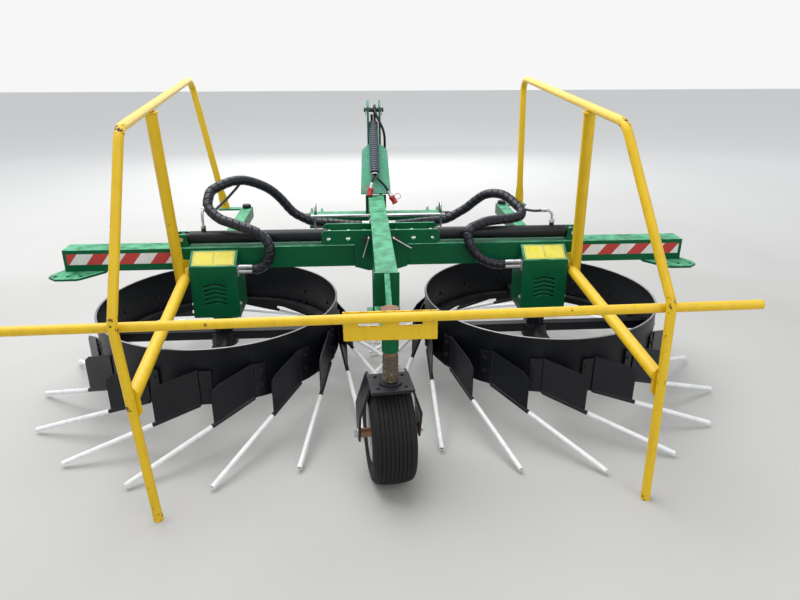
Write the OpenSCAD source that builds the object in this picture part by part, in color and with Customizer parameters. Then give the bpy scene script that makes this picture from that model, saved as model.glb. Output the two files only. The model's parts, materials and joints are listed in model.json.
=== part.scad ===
/* [Layout] */
// Distance between the two rotor axes with both arms slid in
rotor_spacing = 1516; // [1500:2:1540]
// Height of the middle of the cross beam
beam_z = 655; // [645:1:670]
// How far the beam's middle lies in front of the rotor axes
beam_y = 31; // [26:1:36]
// How far each arm slides out to its working place
arm_travel = 300; // [200:10:320]

/* [Beam and arms] */
// Outside size of each square arm tube
arm_size = 100; // [96:1:106]
// Wall of the arm tube
arm_wall = 6; // [5:0.5:7]
// Distance from the middle to the outer end of an arm
arm_end_x = 1433; // [1420:1:1450]
// Half width of the fixed middle sleeve
sleeve_half = 121.7; // [115:0.1:130]
// Thickness of each weld pad between sleeve and bracket plates
bracket_gap = 5; // [5:0.5:8]
// Wall of the inner beam that the arms slide on
inner_wall = 8; // [6:0.5:10]
// How much of the inner beam stays in an arm that is slid out
inner_overlap = 380; // [340:10:400]
// Running gap between the inner beam and the tubes round it
slide_gap = 0.3; // [0.2:0.05:0.6]
// Thickness of the three-hole plate under an arm's outer end
end_plate_t = 10; // [8:1:12]
// Radius of the three holes in an end plate
end_hole_r = 9; // [7:0.5:11]
// Spacing of the three holes in an end plate
end_hole_step = 55; // [50:1:58]

/* [Middle bracket] */
// Thickness of the front and rear bracket plates
bracket_t = 10; // [8:1:12]
// Half length of the upper part of the bracket plates
bracket_half = 270; // [262:1:280]
// Height of the upper part of the bracket plates
bracket_h = 66; // [60:1:70]
// Radius of the spare holes in the bracket plates
bracket_hole_r = 10; // [8:0.5:12]

/* [Spine and headstock] */
// Width of the lengthwise spine
spine_w = 85; // [80:1:90]
// Height of the spine
spine_h = 134; // [128:1:140]
// Wall of the spine
spine_wall = 6; // [5:0.5:8]
// How high the spine's top stands over the arms' top
spine_rise = 69; // [66:1:74]
// Rear end of the spine, behind the rotor axes
spine_rear = 594; // [580:1:610]
// Front end of the spine, ahead of the rotor axes
spine_front = 709; // [700:1:720]
// Thickness of the two mast plates
mast_t = 10; // [8:1:12]
// Clear width between the mast plates
mast_gap = 56; // [52:1:60]
// Front edge of the mast plates
mast_front = 1008; // [990:1:1020]
// Height of the top link pin over the lower link pins
mast_height = 610; // [600:1:620]
// Radius of the top link pin
top_pin_r = 12.7; // [11:0.1:14]
// Radius of the lower link pins
low_pin_r = 14; // [12:0.5:16]
// Height of the lower link pins
low_pin_z = 604; // [596:1:612]
// Distance between the middles of the two lower link pins
low_pin_spread = 845; // [835:1:855]
// Free length of each lower link pin
low_pin_l = 60; // [52:1:66]
// Size of the headstock's square cross tube
cross_size = 80; // [70:1:84]
// Outside size of the parking leg
leg_size = 50; // [46:1:54]

/* [Caster] */
// Distance from the rotor axes back to the swivel axis
swivel_back = 830; // [826:1:834]
// How far the wheel axle now stands ahead of the swivel axis
caster_trail = 50; // [45:1:55]
// How far the caster now stands turned on its swivel, in degrees
caster_turn = 6; // [-15:0.5:15]
// Outside radius of the tyre
tyre_r = 200; // [195:1:205]
// Width of the tyre
tyre_w = 165; // [158:1:170]
// Radius of the swivel shaft
swivel_r = 25; // [22:0.5:26]
// Wall of the swivel housing tube
housing_wall = 5; // [4:0.5:6]
// Radius of the wheel's axle bolt
axle_r = 10; // [8:0.5:12]
// Radial running clearance of shafts in their bores
shaft_gap = 0.05; // [0.02:0.01:0.1]

/* [Rotors] */
// Outside radius of the rotor ring
ring_r = 545; // [535:1:550]
// Wall of the rotor ring
ring_wall = 5; // [4:0.5:6]
// Height of the ring's lower edge
ring_z = 200; // [195:1:205]
// Height of the ring
ring_h = 245; // [238:1:250]
// Size of the square spokes
spoke_size = 42; // [38:1:46]
// Number of tines on each rotor
tine_count = 16; // [12:1:18]
// Radius of the circle that the tine tips run on
tip_r = 852; // [845:1:858]
// How far each tip trails its root round the rotor, in degrees
tip_lag = 39; // [37:0.5:41]
// Height of the middle of each tine's tip
tip_z = 20; // [18:0.5:26]
// Radius of the black tine rod
rod_r = 9; // [8:0.5:10]
// Radius of the white tine sleeve
sleeve_r = 10; // [9:0.5:11]
// Length of the flap along its tine, in plan
flap_l = 180; // [170:1:190]
// Height of the flap at the ring
flap_h = 158; // [150:1:165]
// Thickness of the flap
flap_t = 5; // [4:0.5:6]

/* [Covers and drives] */
// Width of each drive cover
cover_w = 210; // [200:1:220]
// Sheet thickness of each drive cover
cover_t = 4; // [3:0.5:5]
// How far the cover reaches behind the rotor axis
cover_back = 100; // [95:1:105]
// Height of the cover's lower edge
cover_z = 395; // [390:1:402]
// Radius of the green neck of the drive
neck_r = 65; // [60:1:68]
// Height of the neck's lower end
neck_z = 375; // [370:1:380]
// Radius of the rotor shaft
shaft_r = 25; // [22:0.5:28]

/* [Cylinders] */
// Height of the cylinder axes
cyl_z = 742; // [738:1:744]
// Outside radius of the cylinder barrels
barrel_r = 29; // [27:0.5:30]
// Radius of the cylinder rods
piston_rod_r = 15; // [13:0.5:17]
// Distance from the middle to the rod's pin
rod_pin_x = 75; // [70:1:80]
// Distance from the middle to the barrel's pin
barrel_pin_x = 905; // [895:1:915]
// Radius of the cylinder pins
cyl_pin_r = 10; // [8:0.5:12]

/* [Guards] */
// Radius of the guard tube
guard_r = 17; // [15:0.5:18]
// Radius of the guard posts and braces
post_r = 24; // [22:0.5:25]
// Radius of the guard tube's bends
bend_r = 70; // [60:5:80]
// Half length of the rear bar
rear_bar_half = 1300; // [1280:1:1320]
// How far the rear bar's right end stands over its middle
rear_bar_rise = 14; // [0:1:18]
// Size of the forward tubes that carry the guards
carrier_size = 60; // [55:1:64]
// Front end of the forward tubes
carrier_front = 790; // [780:1:800]

/* [Hidden] */

green = [0.02, 0.42, 0.2];
black = [0.03, 0.03, 0.035];
yellow = [0.95, 0.74, 0.05];
steel = [0.75, 0.76, 0.78];
white = [0.92, 0.93, 0.94];
seat_gap = 0.3;
move_gap = 5;

rotor_x = rotor_spacing / 2;
beam_top = beam_z + arm_size / 2;
beam_low = beam_z - arm_size / 2;
beam_rear = beam_y - arm_size / 2;
beam_face = beam_y + arm_size / 2;
arm_start_x = sleeve_half + seat_gap;
arm_bore = arm_size - 2 * arm_wall;
inner_size = arm_bore - 2 * slide_gap;
inner_half = arm_start_x + arm_travel + inner_overlap;
sleeve_size = arm_size + 2 * bracket_gap;
bracket_rear = beam_y - sleeve_size / 2 - bracket_t;
bracket_face = beam_y + sleeve_size / 2;
bracket_low = beam_top + 8;
bracket_top = bracket_low + bracket_h;
spine_top = beam_top + spine_rise;
spine_low = spine_top - spine_h;
housing_r = swivel_r + shaft_gap + housing_wall;
housing_low = 562;
housing_top = 704;
top_pin_z = low_pin_z + mast_height;
pin_y = mast_front - 70;
cross_y = pin_y - 90;
cross_z = spine_low - cross_size / 2;
link_x = low_pin_spread / 2;
ear_t = 12;
ear_step = 60;
collar_t = 8;
ear_x = link_x - low_pin_l / 2 - collar_t - seat_gap;
stud_r = low_pin_r - 2;
axle_y = -swivel_back + caster_trail;
fork_top = 2 * tyre_r + 36;
rear_bar_y = -swivel_back - housing_r - seat_gap - 6 - guard_r + 1;
rear_bar_z = 711;
leg_line_y = rear_bar_y - 2 * guard_r - move_gap;
cover_mid = rotor_x;
barrel_start = bracket_half - 20;
post_x = rotor_x + 139;

// Helpers

// A straight round bar from p to q
module bar(p, q, r) {
  d = q - p;
  translate(p) rotate([0, acos(d[2] / norm(d)), atan2(d[1], d[0])]) cylinder(h = norm(d), r = r, $fn = 48);
}

// A square tube centred on y and z that runs along x from x0 to x1
module tube_x(x0, x1, y, z, size, wall) {
  translate([x0, y - size / 2, z - size / 2]) difference() {
    cube([x1 - x0, size, size]);
    translate([-1, wall, wall]) cube([x1 - x0 + 2, size - 2 * wall, size - 2 * wall]);
  }
}

// A plate whose outline is drawn in y and z, from x0 to x1
module plate_yz(outline, x0, x1) {
  translate([x0, 0, 0]) rotate([90, 0, 90]) linear_extrude(x1 - x0) polygon(outline);
}

// A plate whose outline is drawn in x and z, from y0 to y1
module plate_xz(outline, y0, y1) {
  translate([0, y1, 0]) rotate([90, 0, 0]) linear_extrude(y1 - y0) polygon(outline);
}

// Everything of one side, drawn on the right
module side(s) {
  if (s < 0) mirror([1, 0, 0]) children();
  else children();
}

function unit(v) = v / norm(v);
function along(p, i) = unit(p[min(i + 1, len(p) - 1)] - p[max(i - 1, 0)]);
function square_to(n, t) = unit(n - (n * t) * t);
function frames(p, seed) =
  [for (i = 0, n = square_to(seed, along(p, 0)); i < len(p); i = i + 1, n = square_to(n, along(p, min(i, len(p) - 1)))) n];
function arc_point(s, e, w, t) = (sin((1 - t) * w) * s + sin(t * w) * e) / sin(w);
// Points of the round bend of radius r at corner b
function bend(a, b, c, r, n) =
  let (u = unit(a - b), v = unit(c - b), half = acos(u * v) / 2, cut = r / tan(half))
  let (mid = b + unit(u + v) * r / sin(half), s = b + u * cut - mid, e = b + v * cut - mid)
  let (w = acos(s * e / (r * r)))
  [for (i = [0:n]) mid + arc_point(s, e, w, i / n)];

// A round tube swept along the points of a route
module swept(path, r, sides, seed) {
  n = frames(path, seed);
  last = (len(path) - 1) * sides;
  points = [for (i = [0:len(path) - 1]) let (u = n[i], v = cross(along(path, i), u))
    for (k = [0:sides - 1]) path[i] + r * (cos(360 * k / sides) * u + sin(360 * k / sides) * v)];
  ends = [[for (k = [0:sides - 1]) k], [for (k = [sides - 1:-1:0]) last + k]];
  skin = [for (i = [0:len(path) - 2]) for (k = [0:sides - 1]) let (a = i * sides, b = (k + 1) % sides)
    each [[a + k, a + sides + k, a + b], [a + b, a + sides + k, a + sides + b]]];
  polyhedron(points, concat(ends, skin), convexity = 6);
}

// Fixed frame

module spine() {
  color(green) difference() {
    translate([-spine_w / 2, -spine_rear, spine_low]) cube([spine_w, spine_rear + spine_front, spine_h]);
    translate([-spine_w / 2 + spine_wall, -spine_rear - 1, spine_low + spine_wall])
      cube([spine_w - 2 * spine_wall, spine_rear + spine_front + 2, spine_h - 2 * spine_wall]);
    translate([-spine_w, beam_y - sleeve_size / 2, spine_low - 1])
      cube([2 * spine_w, sleeve_size, beam_z + sleeve_size / 2 - spine_low + 1]);
  }
}

// Outline of a bracket plate: a long upper strip on a shorter lower one
bracket_outline = let (a = bracket_half, b = sleeve_half, c = 14)
  [[-a + c, bracket_low], [-b, bracket_low], [-b, beam_low], [-b / 2, beam_low - 18], [b / 2, beam_low - 18],
   [b, beam_low], [b, bracket_low], [a - c, bracket_low], [a, bracket_low + c], [a, bracket_top - c],
   [a - c, bracket_top], [-a + c, bracket_top], [-a, bracket_top - c], [-a, bracket_low + c]];

module centre_bracket() {
  color(green) difference() {
    union() {
      plate_xz(bracket_outline, bracket_rear, bracket_rear + bracket_t);
      plate_xz(bracket_outline, bracket_face, bracket_face + bracket_t);
      translate([-sleeve_half, beam_y - sleeve_size / 2, beam_z - sleeve_size / 2])
        cube([2 * sleeve_half, sleeve_size, sleeve_size]);
    }
    translate([-sleeve_half - 1, beam_y - arm_bore / 2, beam_z - arm_bore / 2])
      cube([2 * sleeve_half + 2, arm_bore, arm_bore]);
    for (y = [bracket_rear - 1, bracket_face - 1])
      translate([-spine_w / 2, y, spine_low]) cube([spine_w, bracket_t + 2, spine_h + 20]);
    for (s = [-1, 1], x = [bracket_half - 30, bracket_half - 120])
      translate([s * x, bracket_face + bracket_t + 1, cyl_z]) rotate([90, 0, 0])
        cylinder(h = 2 * bracket_t + sleeve_size + 2, r = bracket_hole_r, $fn = 48);
    for (s = [-1, 1]) translate([s * rod_pin_x, bracket_face + bracket_t + 1, cyl_z]) rotate([90, 0, 0])
      cylinder(h = 2 * bracket_t + sleeve_size + 2, r = cyl_pin_r + shaft_gap, $fn = 48);
  }
}

module inner_beam() {
  color(steel) tube_x(-inner_half, inner_half, beam_y, beam_z, inner_size, inner_wall);
}

mast_outline = let (top = top_pin_z)
  [[spine_front, spine_low - 30], [spine_front, spine_top], [spine_front + 170, spine_top + 250],
   [mast_front - 110, top + 20], [mast_front - 96, top + 42], [mast_front - 74, top + 52],
   [mast_front - 44, top + 48], [mast_front - 24, top + 22], [mast_front, spine_low - 30],
   [mast_front, low_pin_z - 40], [mast_front - 60, low_pin_z - 40]];

hose_block = [mast_gap / 2 + mast_t + 18, 916, 800];

module headstock() {
  ear = [[cross_y + cross_size / 2, cross_z + 30], [pin_y + 10, low_pin_z + 42], [pin_y + 36, low_pin_z + 18],
    [pin_y + 36, low_pin_z - 18], [pin_y + 16, low_pin_z - 36], [pin_y - 16, low_pin_z - 36],
    [cross_y + cross_size / 2, cross_z - cross_size / 2]];
  color(green) {
    difference() {
      union() {
        for (s = [-1, 1]) side(s) plate_yz(mast_outline, mast_gap / 2, mast_gap / 2 + mast_t);
        mast_flange();
        translate([-spine_w / 2 - 15, spine_front, spine_low - 30])
          cube([spine_w + 30, 12, spine_h + 30]);
        translate([-mast_gap / 2 - 1, mast_front - 46, hose_block[2] - 40]) cube([mast_gap + 2, 40, 40]);
        translate([mast_gap / 2 + mast_t - 1, hose_block[1] - 22, hose_block[2] - 40]) cube([34, 44, 40]);
      }
      translate([-mast_gap, pin_y, top_pin_z]) rotate([0, 90, 0])
        cylinder(h = 2 * mast_gap, r = top_pin_r + shaft_gap, $fn = 48);
      translate([-mast_gap, cross_y - cross_size / 2 + 1, cross_z - cross_size / 2 + 1])
        cube([2 * mast_gap, cross_size - 2, cross_size - 2]);
    }
    tube_x(-ear_x, ear_x, cross_y, cross_z, cross_size, 6);
    difference() {
      for (s = [-1, 1], k = [0, 1]) {
        x = s * (ear_x - ear_t / 2 - k * ear_step);
        plate_yz(ear, x - ear_t / 2, x + ear_t / 2);
      }
      translate([-ear_x - 10, pin_y, low_pin_z]) rotate([0, 90, 0])
        cylinder(h = 2 * ear_x + 20, r = stud_r + shaft_gap, $fn = 48);
    }
  }
}

// Slope of the rear edge of the mast plates and its length
mast_slope = atan2(250, 170);
flange_t = 10;
flange_l = 304;

// The wide sloping plate on the rear edges of the mast plates
module mast_flange() {
  low_half = 84;
  top_half = 72;
  tip_half = 38;
  taper = 36;
  translate([0, spine_front, spine_top]) rotate([mast_slope, 0, 0]) translate([0, 0, -2]) linear_extrude(flange_t)
    polygon([[-low_half, 6], [low_half, 6], [top_half, flange_l - taper], [tip_half, flange_l],
      [-tip_half, flange_l], [-top_half, flange_l - taper]]);
}

// Stud for one lower link: nut inside its two ears, then a collar, the free pin and a drilled tip
module link_stud() {
  nut_h = 20;
  tail = ear_x - ear_step - ear_t - seat_gap;
  free = link_x - low_pin_l / 2;
  tip_l = 26;
  tip = free + low_pin_l;
  translate([0, pin_y, low_pin_z]) rotate([0, 90, 0]) difference() {
    union() {
      translate([0, 0, tail - nut_h - 6]) cylinder(h = free - tail + nut_h + 7, r = stud_r, $fn = 48);
      translate([0, 0, tail - nut_h]) cylinder(h = nut_h, r = 22, $fn = 6);
      translate([0, 0, free - collar_t]) cylinder(h = collar_t, r = 22, $fn = 48);
      translate([0, 0, free]) cylinder(h = low_pin_l, r = low_pin_r, $fn = 48);
      translate([0, 0, tip - 1]) cylinder(h = tip_l + 1, r = stud_r, $fn = 48);
    }
    translate([-30, 0, tip + tip_l / 2]) rotate([0, 90, 0]) cylinder(h = 60, r = 5.5, $fn = 32);
  }
}

// Link pins of the headstock and the two pins that hold the cylinder rods
module frame_pins() {
  top_reach = mast_gap / 2 + mast_t + 18;
  color(black) {
    for (s = [-1, 1]) side(s) link_stud();
    translate([-top_reach, pin_y, top_pin_z]) rotate([0, 90, 0])
      cylinder(h = 2 * top_reach, r = top_pin_r, $fn = 48);
    for (s = [-1, 1]) translate([s * rod_pin_x, bracket_face + bracket_t + 14, cyl_z])
      rotate([90, 0, 0]) cylinder(h = 2 * bracket_t + sleeve_size + 28, r = cyl_pin_r, $fn = 48);
  }
}

module parking_leg() {
  foot_t = 12;
  low = cross_z - cross_size / 2;
  color(green) translate([0, cross_y, 0]) {
    difference() {
      translate([-leg_size / 2 - 6, -leg_size / 2 - 6, low - 190]) cube([leg_size + 12, leg_size + 12, 190]);
      translate([-leg_size / 2, -leg_size / 2, low - 191]) cube([leg_size, leg_size, 192]);
    }
    translate([-leg_size / 2, -leg_size / 2, foot_t]) cube([leg_size, leg_size, low - foot_t]);
    translate([-60, -60, 0]) cube([120, 120, foot_t]);
  }
}

module swivel_bracket() {
  rear = -spine_rear;
  color(green) difference() {
    union() {
      translate([-48, rear - 10, spine_low - 6]) cube([96, 10, spine_h + 6]);
      plate_yz([[rear - 9, spine_top - 2], [rear - 9, spine_low - 6], [-swivel_back, spine_low - 6],
        [-swivel_back, housing_top], [-swivel_back + 45, housing_top + 8]], -10, 10);
      translate([0, 0, spine_low - 8]) linear_extrude(8) polygon([[-48, rear], [48, rear], [48, rear - 40],
        [housing_r, -swivel_back], [-housing_r, -swivel_back], [-48, rear - 40]]);
      translate([0, -swivel_back, housing_low]) cylinder(h = housing_top - housing_low, r = housing_r, $fn = 64);
    }
    translate([0, -swivel_back, housing_low - 1])
      cylinder(h = housing_top - housing_low + 20, r = swivel_r + shaft_gap, $fn = 64);
  }
}

// Yellow bar behind the machine, with its slotted plate
module rear_bar() {
  plate_half = 163;
  plate_low = 619;
  front = rear_bar_y + guard_r - 1;
  color(yellow) {
    bar([-rear_bar_half, rear_bar_y, rear_bar_z - rear_bar_rise],
      [rear_bar_half, rear_bar_y, rear_bar_z + rear_bar_rise], guard_r);
    difference() {
      translate([-plate_half, front, plate_low]) cube([2 * plate_half, 6, rear_bar_z + guard_r - plate_low]);
      for (x = [-70, 70]) translate([x - 40, front - 1, rear_bar_z - guard_r - 20]) cube([80, 8, 12]);
    }
  }
}

carrier_y = 345;
carrier_z = spine_top - 14;
hoop_x = 318;
hoop_r = 34;

// Where the hose bundles leave the fittings on the spine
bundle_x = 84;
bundle_y = 268;
bundle_z = 722;
fitting_r = 9;
fitting_step = 23;

// Bright rod through the spine that carries the hose bundles in two hoops
module hose_carrier() {
  low = 706;
  hoop_top = carrier_z + 22;
  color(steel) {
    for (s = [-1, 1]) {
      side(s) translate([spine_w / 2 + seat_gap, bundle_y - 26, bundle_z - 26]) cube([6, 52, 52]);
      for (g = [-1, 1]) side(s) bar([spine_w / 2 + 3, bundle_y, bundle_z + g * fitting_step / 2],
        [bundle_x - seat_gap, bundle_y, bundle_z + g * fitting_step / 2], fitting_r);
      bar([s * (spine_w / 2 + seat_gap), carrier_y - hoop_r, carrier_z], [s * (hoop_x + 20), carrier_y - hoop_r, carrier_z], 7);
      for (g = [-1, 1]) bar([s * hoop_x, carrier_y + g * hoop_r, low], [s * hoop_x, carrier_y + g * hoop_r, hoop_top], 5);
      translate([s * hoop_x, carrier_y, hoop_top]) rotate([90, 0, 90]) rotate_extrude(angle = 180, $fn = 48)
        translate([hoop_r, 0]) circle(r = 5, $fn = 24);
      translate([s * hoop_x, carrier_y, low]) rotate([-90, 0, 90]) rotate_extrude(angle = 180, $fn = 48)
        translate([hoop_r, 0]) circle(r = 5, $fn = 24);
    }
  }
}

// Point on the axis of the grey sleeve, which lies on the mast's flange
sleeve_out = 24;
function sleeve_point(x, d) = let (h = flange_t - 2 + seat_gap + sleeve_out)
  [x, spine_front + d * cos(mast_slope) - h * sin(mast_slope), spine_top + d * sin(mast_slope) + h * cos(mast_slope)];
sleeve_low = 122;
sleeve_high = 428;
sleeve_x = -3;

module hose_sleeve() {
  color([0.35, 0.37, 0.4]) difference() {
    bar(sleeve_point(sleeve_x, sleeve_low), sleeve_point(sleeve_x, sleeve_high), sleeve_out);
    bar(sleeve_point(sleeve_x, sleeve_low - 4), sleeve_point(sleeve_x, sleeve_high + 4), sleeve_out - 3.5);
  }
}

// The two supply hoses come up the mast, go round the top link pin and down inside the grey sleeve
hose_r = 7;
in_sleeve = [for (d = [452, 420, 340, 260, 180, 112]) d];
function pin_point(x, r, a) = [x, pin_y + r * cos(a), top_pin_z + r * sin(a)];
left_supply = concat([[-10, mast_front - 23, hose_block[2] + seat_gap], [-10, mast_front - 23, 860], [-10, mast_front - 22, 940],
  [-10, mast_front - 22, 1020], [-10, mast_front - 23, 1090], [-10, mast_front - 28, 1140],
  [-11, mast_front - 38, 1172], [-11, mast_front - 51, 1184], [-11, mast_front - 63, 1178]],
  [for (d = in_sleeve) sleeve_point(-11, d)], [[-14, 720, 867], [-20, 706, 844]]);
right_supply = concat([hose_block + [0, 0, seat_gap], hose_block + [0, 0, 50], [57, 913, 900], [59, 908, 950], [60, 901, 1000], [60, 893, 1040],
  [58, 883, 1075], [52, 875, 1105], [42, 872, 1132], [30, 875, 1156], [18, 884, 1178], [9, 896, 1202]],
  [for (a = [165, 130, 95, 60, 25, -5]) pin_point(5, 25, a)],
  [for (d = in_sleeve) sleeve_point(5, d)], [[12, 722, 866], [30, 710, 848], [52, 698, 826], [68, 690, 800]]);

module supply_hose(s) {
  color(black) swept(s < 0 ? left_supply : right_supply, hose_r, 8, [1, 0, 0]);
}

// Coupling that goes on from the end of a supply hose, with its dust cap
module coupling(route) {
  p = route[len(route) - 1];
  d = unit(p - route[len(route) - 2]);
  color(steel) {
    bar(p + seat_gap * d, p + 42 * d, 11);
    bar(p + 40 * d, p + 70 * d, 15);
  }
}

module hose_couplings() {
  coupling(left_supply);
  coupling(right_supply);
}

// Routes of the hose bundles from the spine through a hoop to the fittings beside each cover
bundle_start = [[bundle_x, bundle_y, bundle_z], [108, bundle_y, bundle_z], [160, 297, 717], [225, 335, 715], [318, 345, 720]];
left_route = concat(bundle_start, [[380, 345, 745], [432, 340, 780], [485, 325, 850], [530, 300, 900],
  [580, 270, 935], [635, 235, 960], [685, 200, 965], [730, 165, 955], [775, 130, 935], [785, 95, 910],
  [785, 65, 880], [765, 40, 855], [725, 15, 830], [680, -10, 820], [625, -30, 805], [585, -45, 795],
  [550, -55, 780], [520, -60, 755], [505, -65, 730], [500, -70, 700], [508, -68, 670], [522, -64, 643],
  [542, -61, 624], [564, -60, 615], [588, -60, 615]]);
right_route = concat(bundle_start, [[365, 345, 732], [405, 345, 755], [450, 335, 785], [490, 315, 825],
  [530, 290, 860], [570, 260, 875], [610, 225, 875], [640, 190, 860], [665, 150, 840], [680, 120, 825],
  [670, 85, 805], [615, 55, 800], [555, 35, 800], [495, 10, 800], [450, -10, 790], [415, -30, 780],
  [400, -40, 760], [400, -50, 735], [410, -60, 705], [425, -60, 680], [455, -64, 650], [490, -64, 628],
  [540, -60, 613], [575, -60, 613]]);
bundle_r = 23;

module hose_bundle(s) {
  color(black) side(s) swept(s < 0 ? left_route : right_route, bundle_r, 10, [0, 0, 1]);
}

// Arms

module arm(s) {
  ear_w = 12;
  ear_in = 20;
  color(green) side(s) {
    tube_x(arm_start_x, arm_end_x, beam_y, beam_z, arm_size, arm_wall);
    end_plate();
    difference() {
      for (g = [-1, 1]) {
        y = beam_y + g * (ear_in + ear_w / 2);
        plate_xz([[barrel_pin_x - 28, beam_top - 1], [barrel_pin_x + 45, beam_top - 1], [barrel_pin_x + 24, cyl_z + 22],
          [barrel_pin_x - 24, cyl_z + 22]], y - ear_w / 2, y + ear_w / 2);
      }
      translate([barrel_pin_x, beam_y + 60, cyl_z]) rotate([90, 0, 0])
        cylinder(h = 120, r = cyl_pin_r + shaft_gap, $fn = 48);
    }
  }
}

// Three-hole plate welded under an arm's outer end
end_hole_y = beam_rear - 62;
module end_plate() {
  inner = arm_end_x - 178;
  outer = arm_end_x + 47;
  rear = beam_rear - 102;
  under = beam_rear + 60;
  first = arm_end_x + 20 - 2 * end_hole_step;
  translate([inner, beam_rear + 1, beam_low - 2]) cube([arm_end_x - 1 - inner, under - beam_rear - 1, 3]);
  difference() {
    translate([0, 0, beam_low - end_plate_t]) linear_extrude(end_plate_t)
      polygon([[inner, under], [inner, beam_rear], [inner + 80, rear + 8], [inner + 96, rear],
        [outer - 40, rear], [outer, rear + 34], [outer, rear + 70], [arm_end_x, under]]);
    for (k = [0:2]) translate([first + k * end_hole_step, end_hole_y, beam_low - end_plate_t - 1])
      cylinder(h = end_plate_t + 2, r = end_hole_r, $fn = 48);
  }
}

// Bright hose fittings beside the cover, the barrel's port elbow and the barrel's pin
module arm_fittings(s) {
  route = s < 0 ? left_route : right_route;
  p = route[len(route) - 1];
  x0 = p[0] + seat_gap;
  x1 = cover_mid - cover_w / 2 - seat_gap;
  color(steel) side(s) {
    for (g = [-1, 1]) bar([x0, p[1], p[2] + g * fitting_step / 2], [x1, p[1], p[2] + g * fitting_step / 2], fitting_r);
    translate([x1 - 6, p[1] - 26, p[2] - 26]) cube([6, 52, 52]);
    translate([barrel_pin_x, beam_y + 38, cyl_z]) rotate([90, 0, 0]) cylinder(h = 76, r = cyl_pin_r, $fn = 48);
  }
}

// Folded sheet cover round the rotor's drive, open below, with five chevron louvres behind
module cover(s) {
  outline = [[-cover_back, cover_z], [-cover_back, beam_low + 36], [beam_rear - seat_gap, beam_top - 10],
    [beam_rear - seat_gap, beam_low - seat_gap], [cover_back, beam_low - seat_gap], [cover_back, cover_z]];
  inside = [[-cover_back + cover_t, cover_z - 1], [-cover_back + cover_t, beam_low + 34],
    [beam_rear - seat_gap - cover_t, beam_top - 18], [beam_rear - seat_gap - cover_t, beam_low - seat_gap - cover_t],
    [cover_back - cover_t, beam_low - seat_gap - cover_t], [cover_back - cover_t, cover_z - 1]];
  slot_pitch = 21;
  color(green) side(s) difference() {
    plate_yz(outline, cover_mid - cover_w / 2, cover_mid + cover_w / 2);
    plate_yz(inside, cover_mid - cover_w / 2 + cover_t, cover_mid + cover_w / 2 - cover_t);
    for (k = [0:4]) translate([cover_mid, -cover_back + cover_t + 1, cover_z + 74 + k * slot_pitch])
      rotate([90, 0, 0]) linear_extrude(cover_t + 2)
        polygon([[-50, -12], [0, 0], [50, -12], [50, -4], [0, 8], [-50, -4]]);
  }
}

// Green neck and motor that carry the rotor's shaft
module drive(s) {
  top = beam_low - seat_gap - cover_t - seat_gap;
  color(green) side(s) translate([rotor_x, 0, 0]) difference() {
    union() {
      translate([0, 0, neck_z]) cylinder(h = 60, r = neck_r, $fn = 64);
      translate([0, 0, neck_z + 50]) cylinder(h = 110, r = neck_r + 20, $fn = 64);
      translate([-45, -45, neck_z + 150]) cube([90, 90, top - neck_z - 150]);
    }
    translate([0, 0, neck_z - 1]) cylinder(h = 121, r = shaft_r + shaft_gap, $fn = 64);
  }
}

// Square tube forward from the arm that carries the front of the guard
module guard_carrier(s) {
  x = rotor_x - 28;
  top = carrier_top;
  side_x = rotor_x + (s < 0 ? 92 : 75);
  color(green) side(s) {
    difference() {
      translate([x - carrier_size / 2, beam_face + seat_gap, top - carrier_size])
        cube([carrier_size, carrier_front - beam_face - seat_gap, carrier_size]);
      translate([x - carrier_size / 2 + 5, beam_face - 1, top - carrier_size + 5])
        cube([carrier_size - 10, carrier_front - beam_face - 6, carrier_size - 10]);
    }
    translate([x - carrier_size / 2, carrier_front - 55, top - 8])
      cube([side_x + 35 - x + carrier_size / 2, 50, 8]);
  }
}

carrier_top = beam_top - 5;

// Corner points of each guard tube, x from the rotor: foot, knee, rear top, front top, front end
guard_corners = [
  [[77, leg_line_y - 70, guard_r], [147, leg_line_y, 722], [118, -660, 1313], [210, 780, 1392], [90, 762, 696]],
  [[180, leg_line_y - 70, guard_r], [196, leg_line_y, 748], [63, -660, 1319], [58, 780, 1391], [75, 762, 696]]];
guard_points = [for (side_points = guard_corners) [for (p = side_points) p + [rotor_x, 0, 0]]];

function guard_path(p) = concat([[p[0][0], p[0][1], 0]], bend(p[0], p[1], p[2], bend_r, 6),
  bend(p[1], p[2], p[3], bend_r, 6), bend(p[2], p[3], p[4], bend_r, 6), [p[4]]);

module guard_loop(s) {
  color(yellow) side(s) difference() {
    swept(guard_path(guard_points[s < 0 ? 0 : 1]), guard_r, 16, [1, 0, 0]);
    translate([0, leg_line_y - 200, -50]) cube([1200, 300, 50]);
    translate([0, carrier_front - 100, carrier_top - 50]) cube([1200, 150, 50 + seat_gap]);
  }
}

// A point of the guard's top rail, at a share t of its length
function rail_point(s, t) = let (p = guard_points[s < 0 ? 0 : 1]) p[2] + t * (p[3] - p[2]);
post_foot = [post_x + 15, -62, beam_low - 42];
brace_top = [post_x - 8, beam_rear - 26, beam_low - 16];

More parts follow.
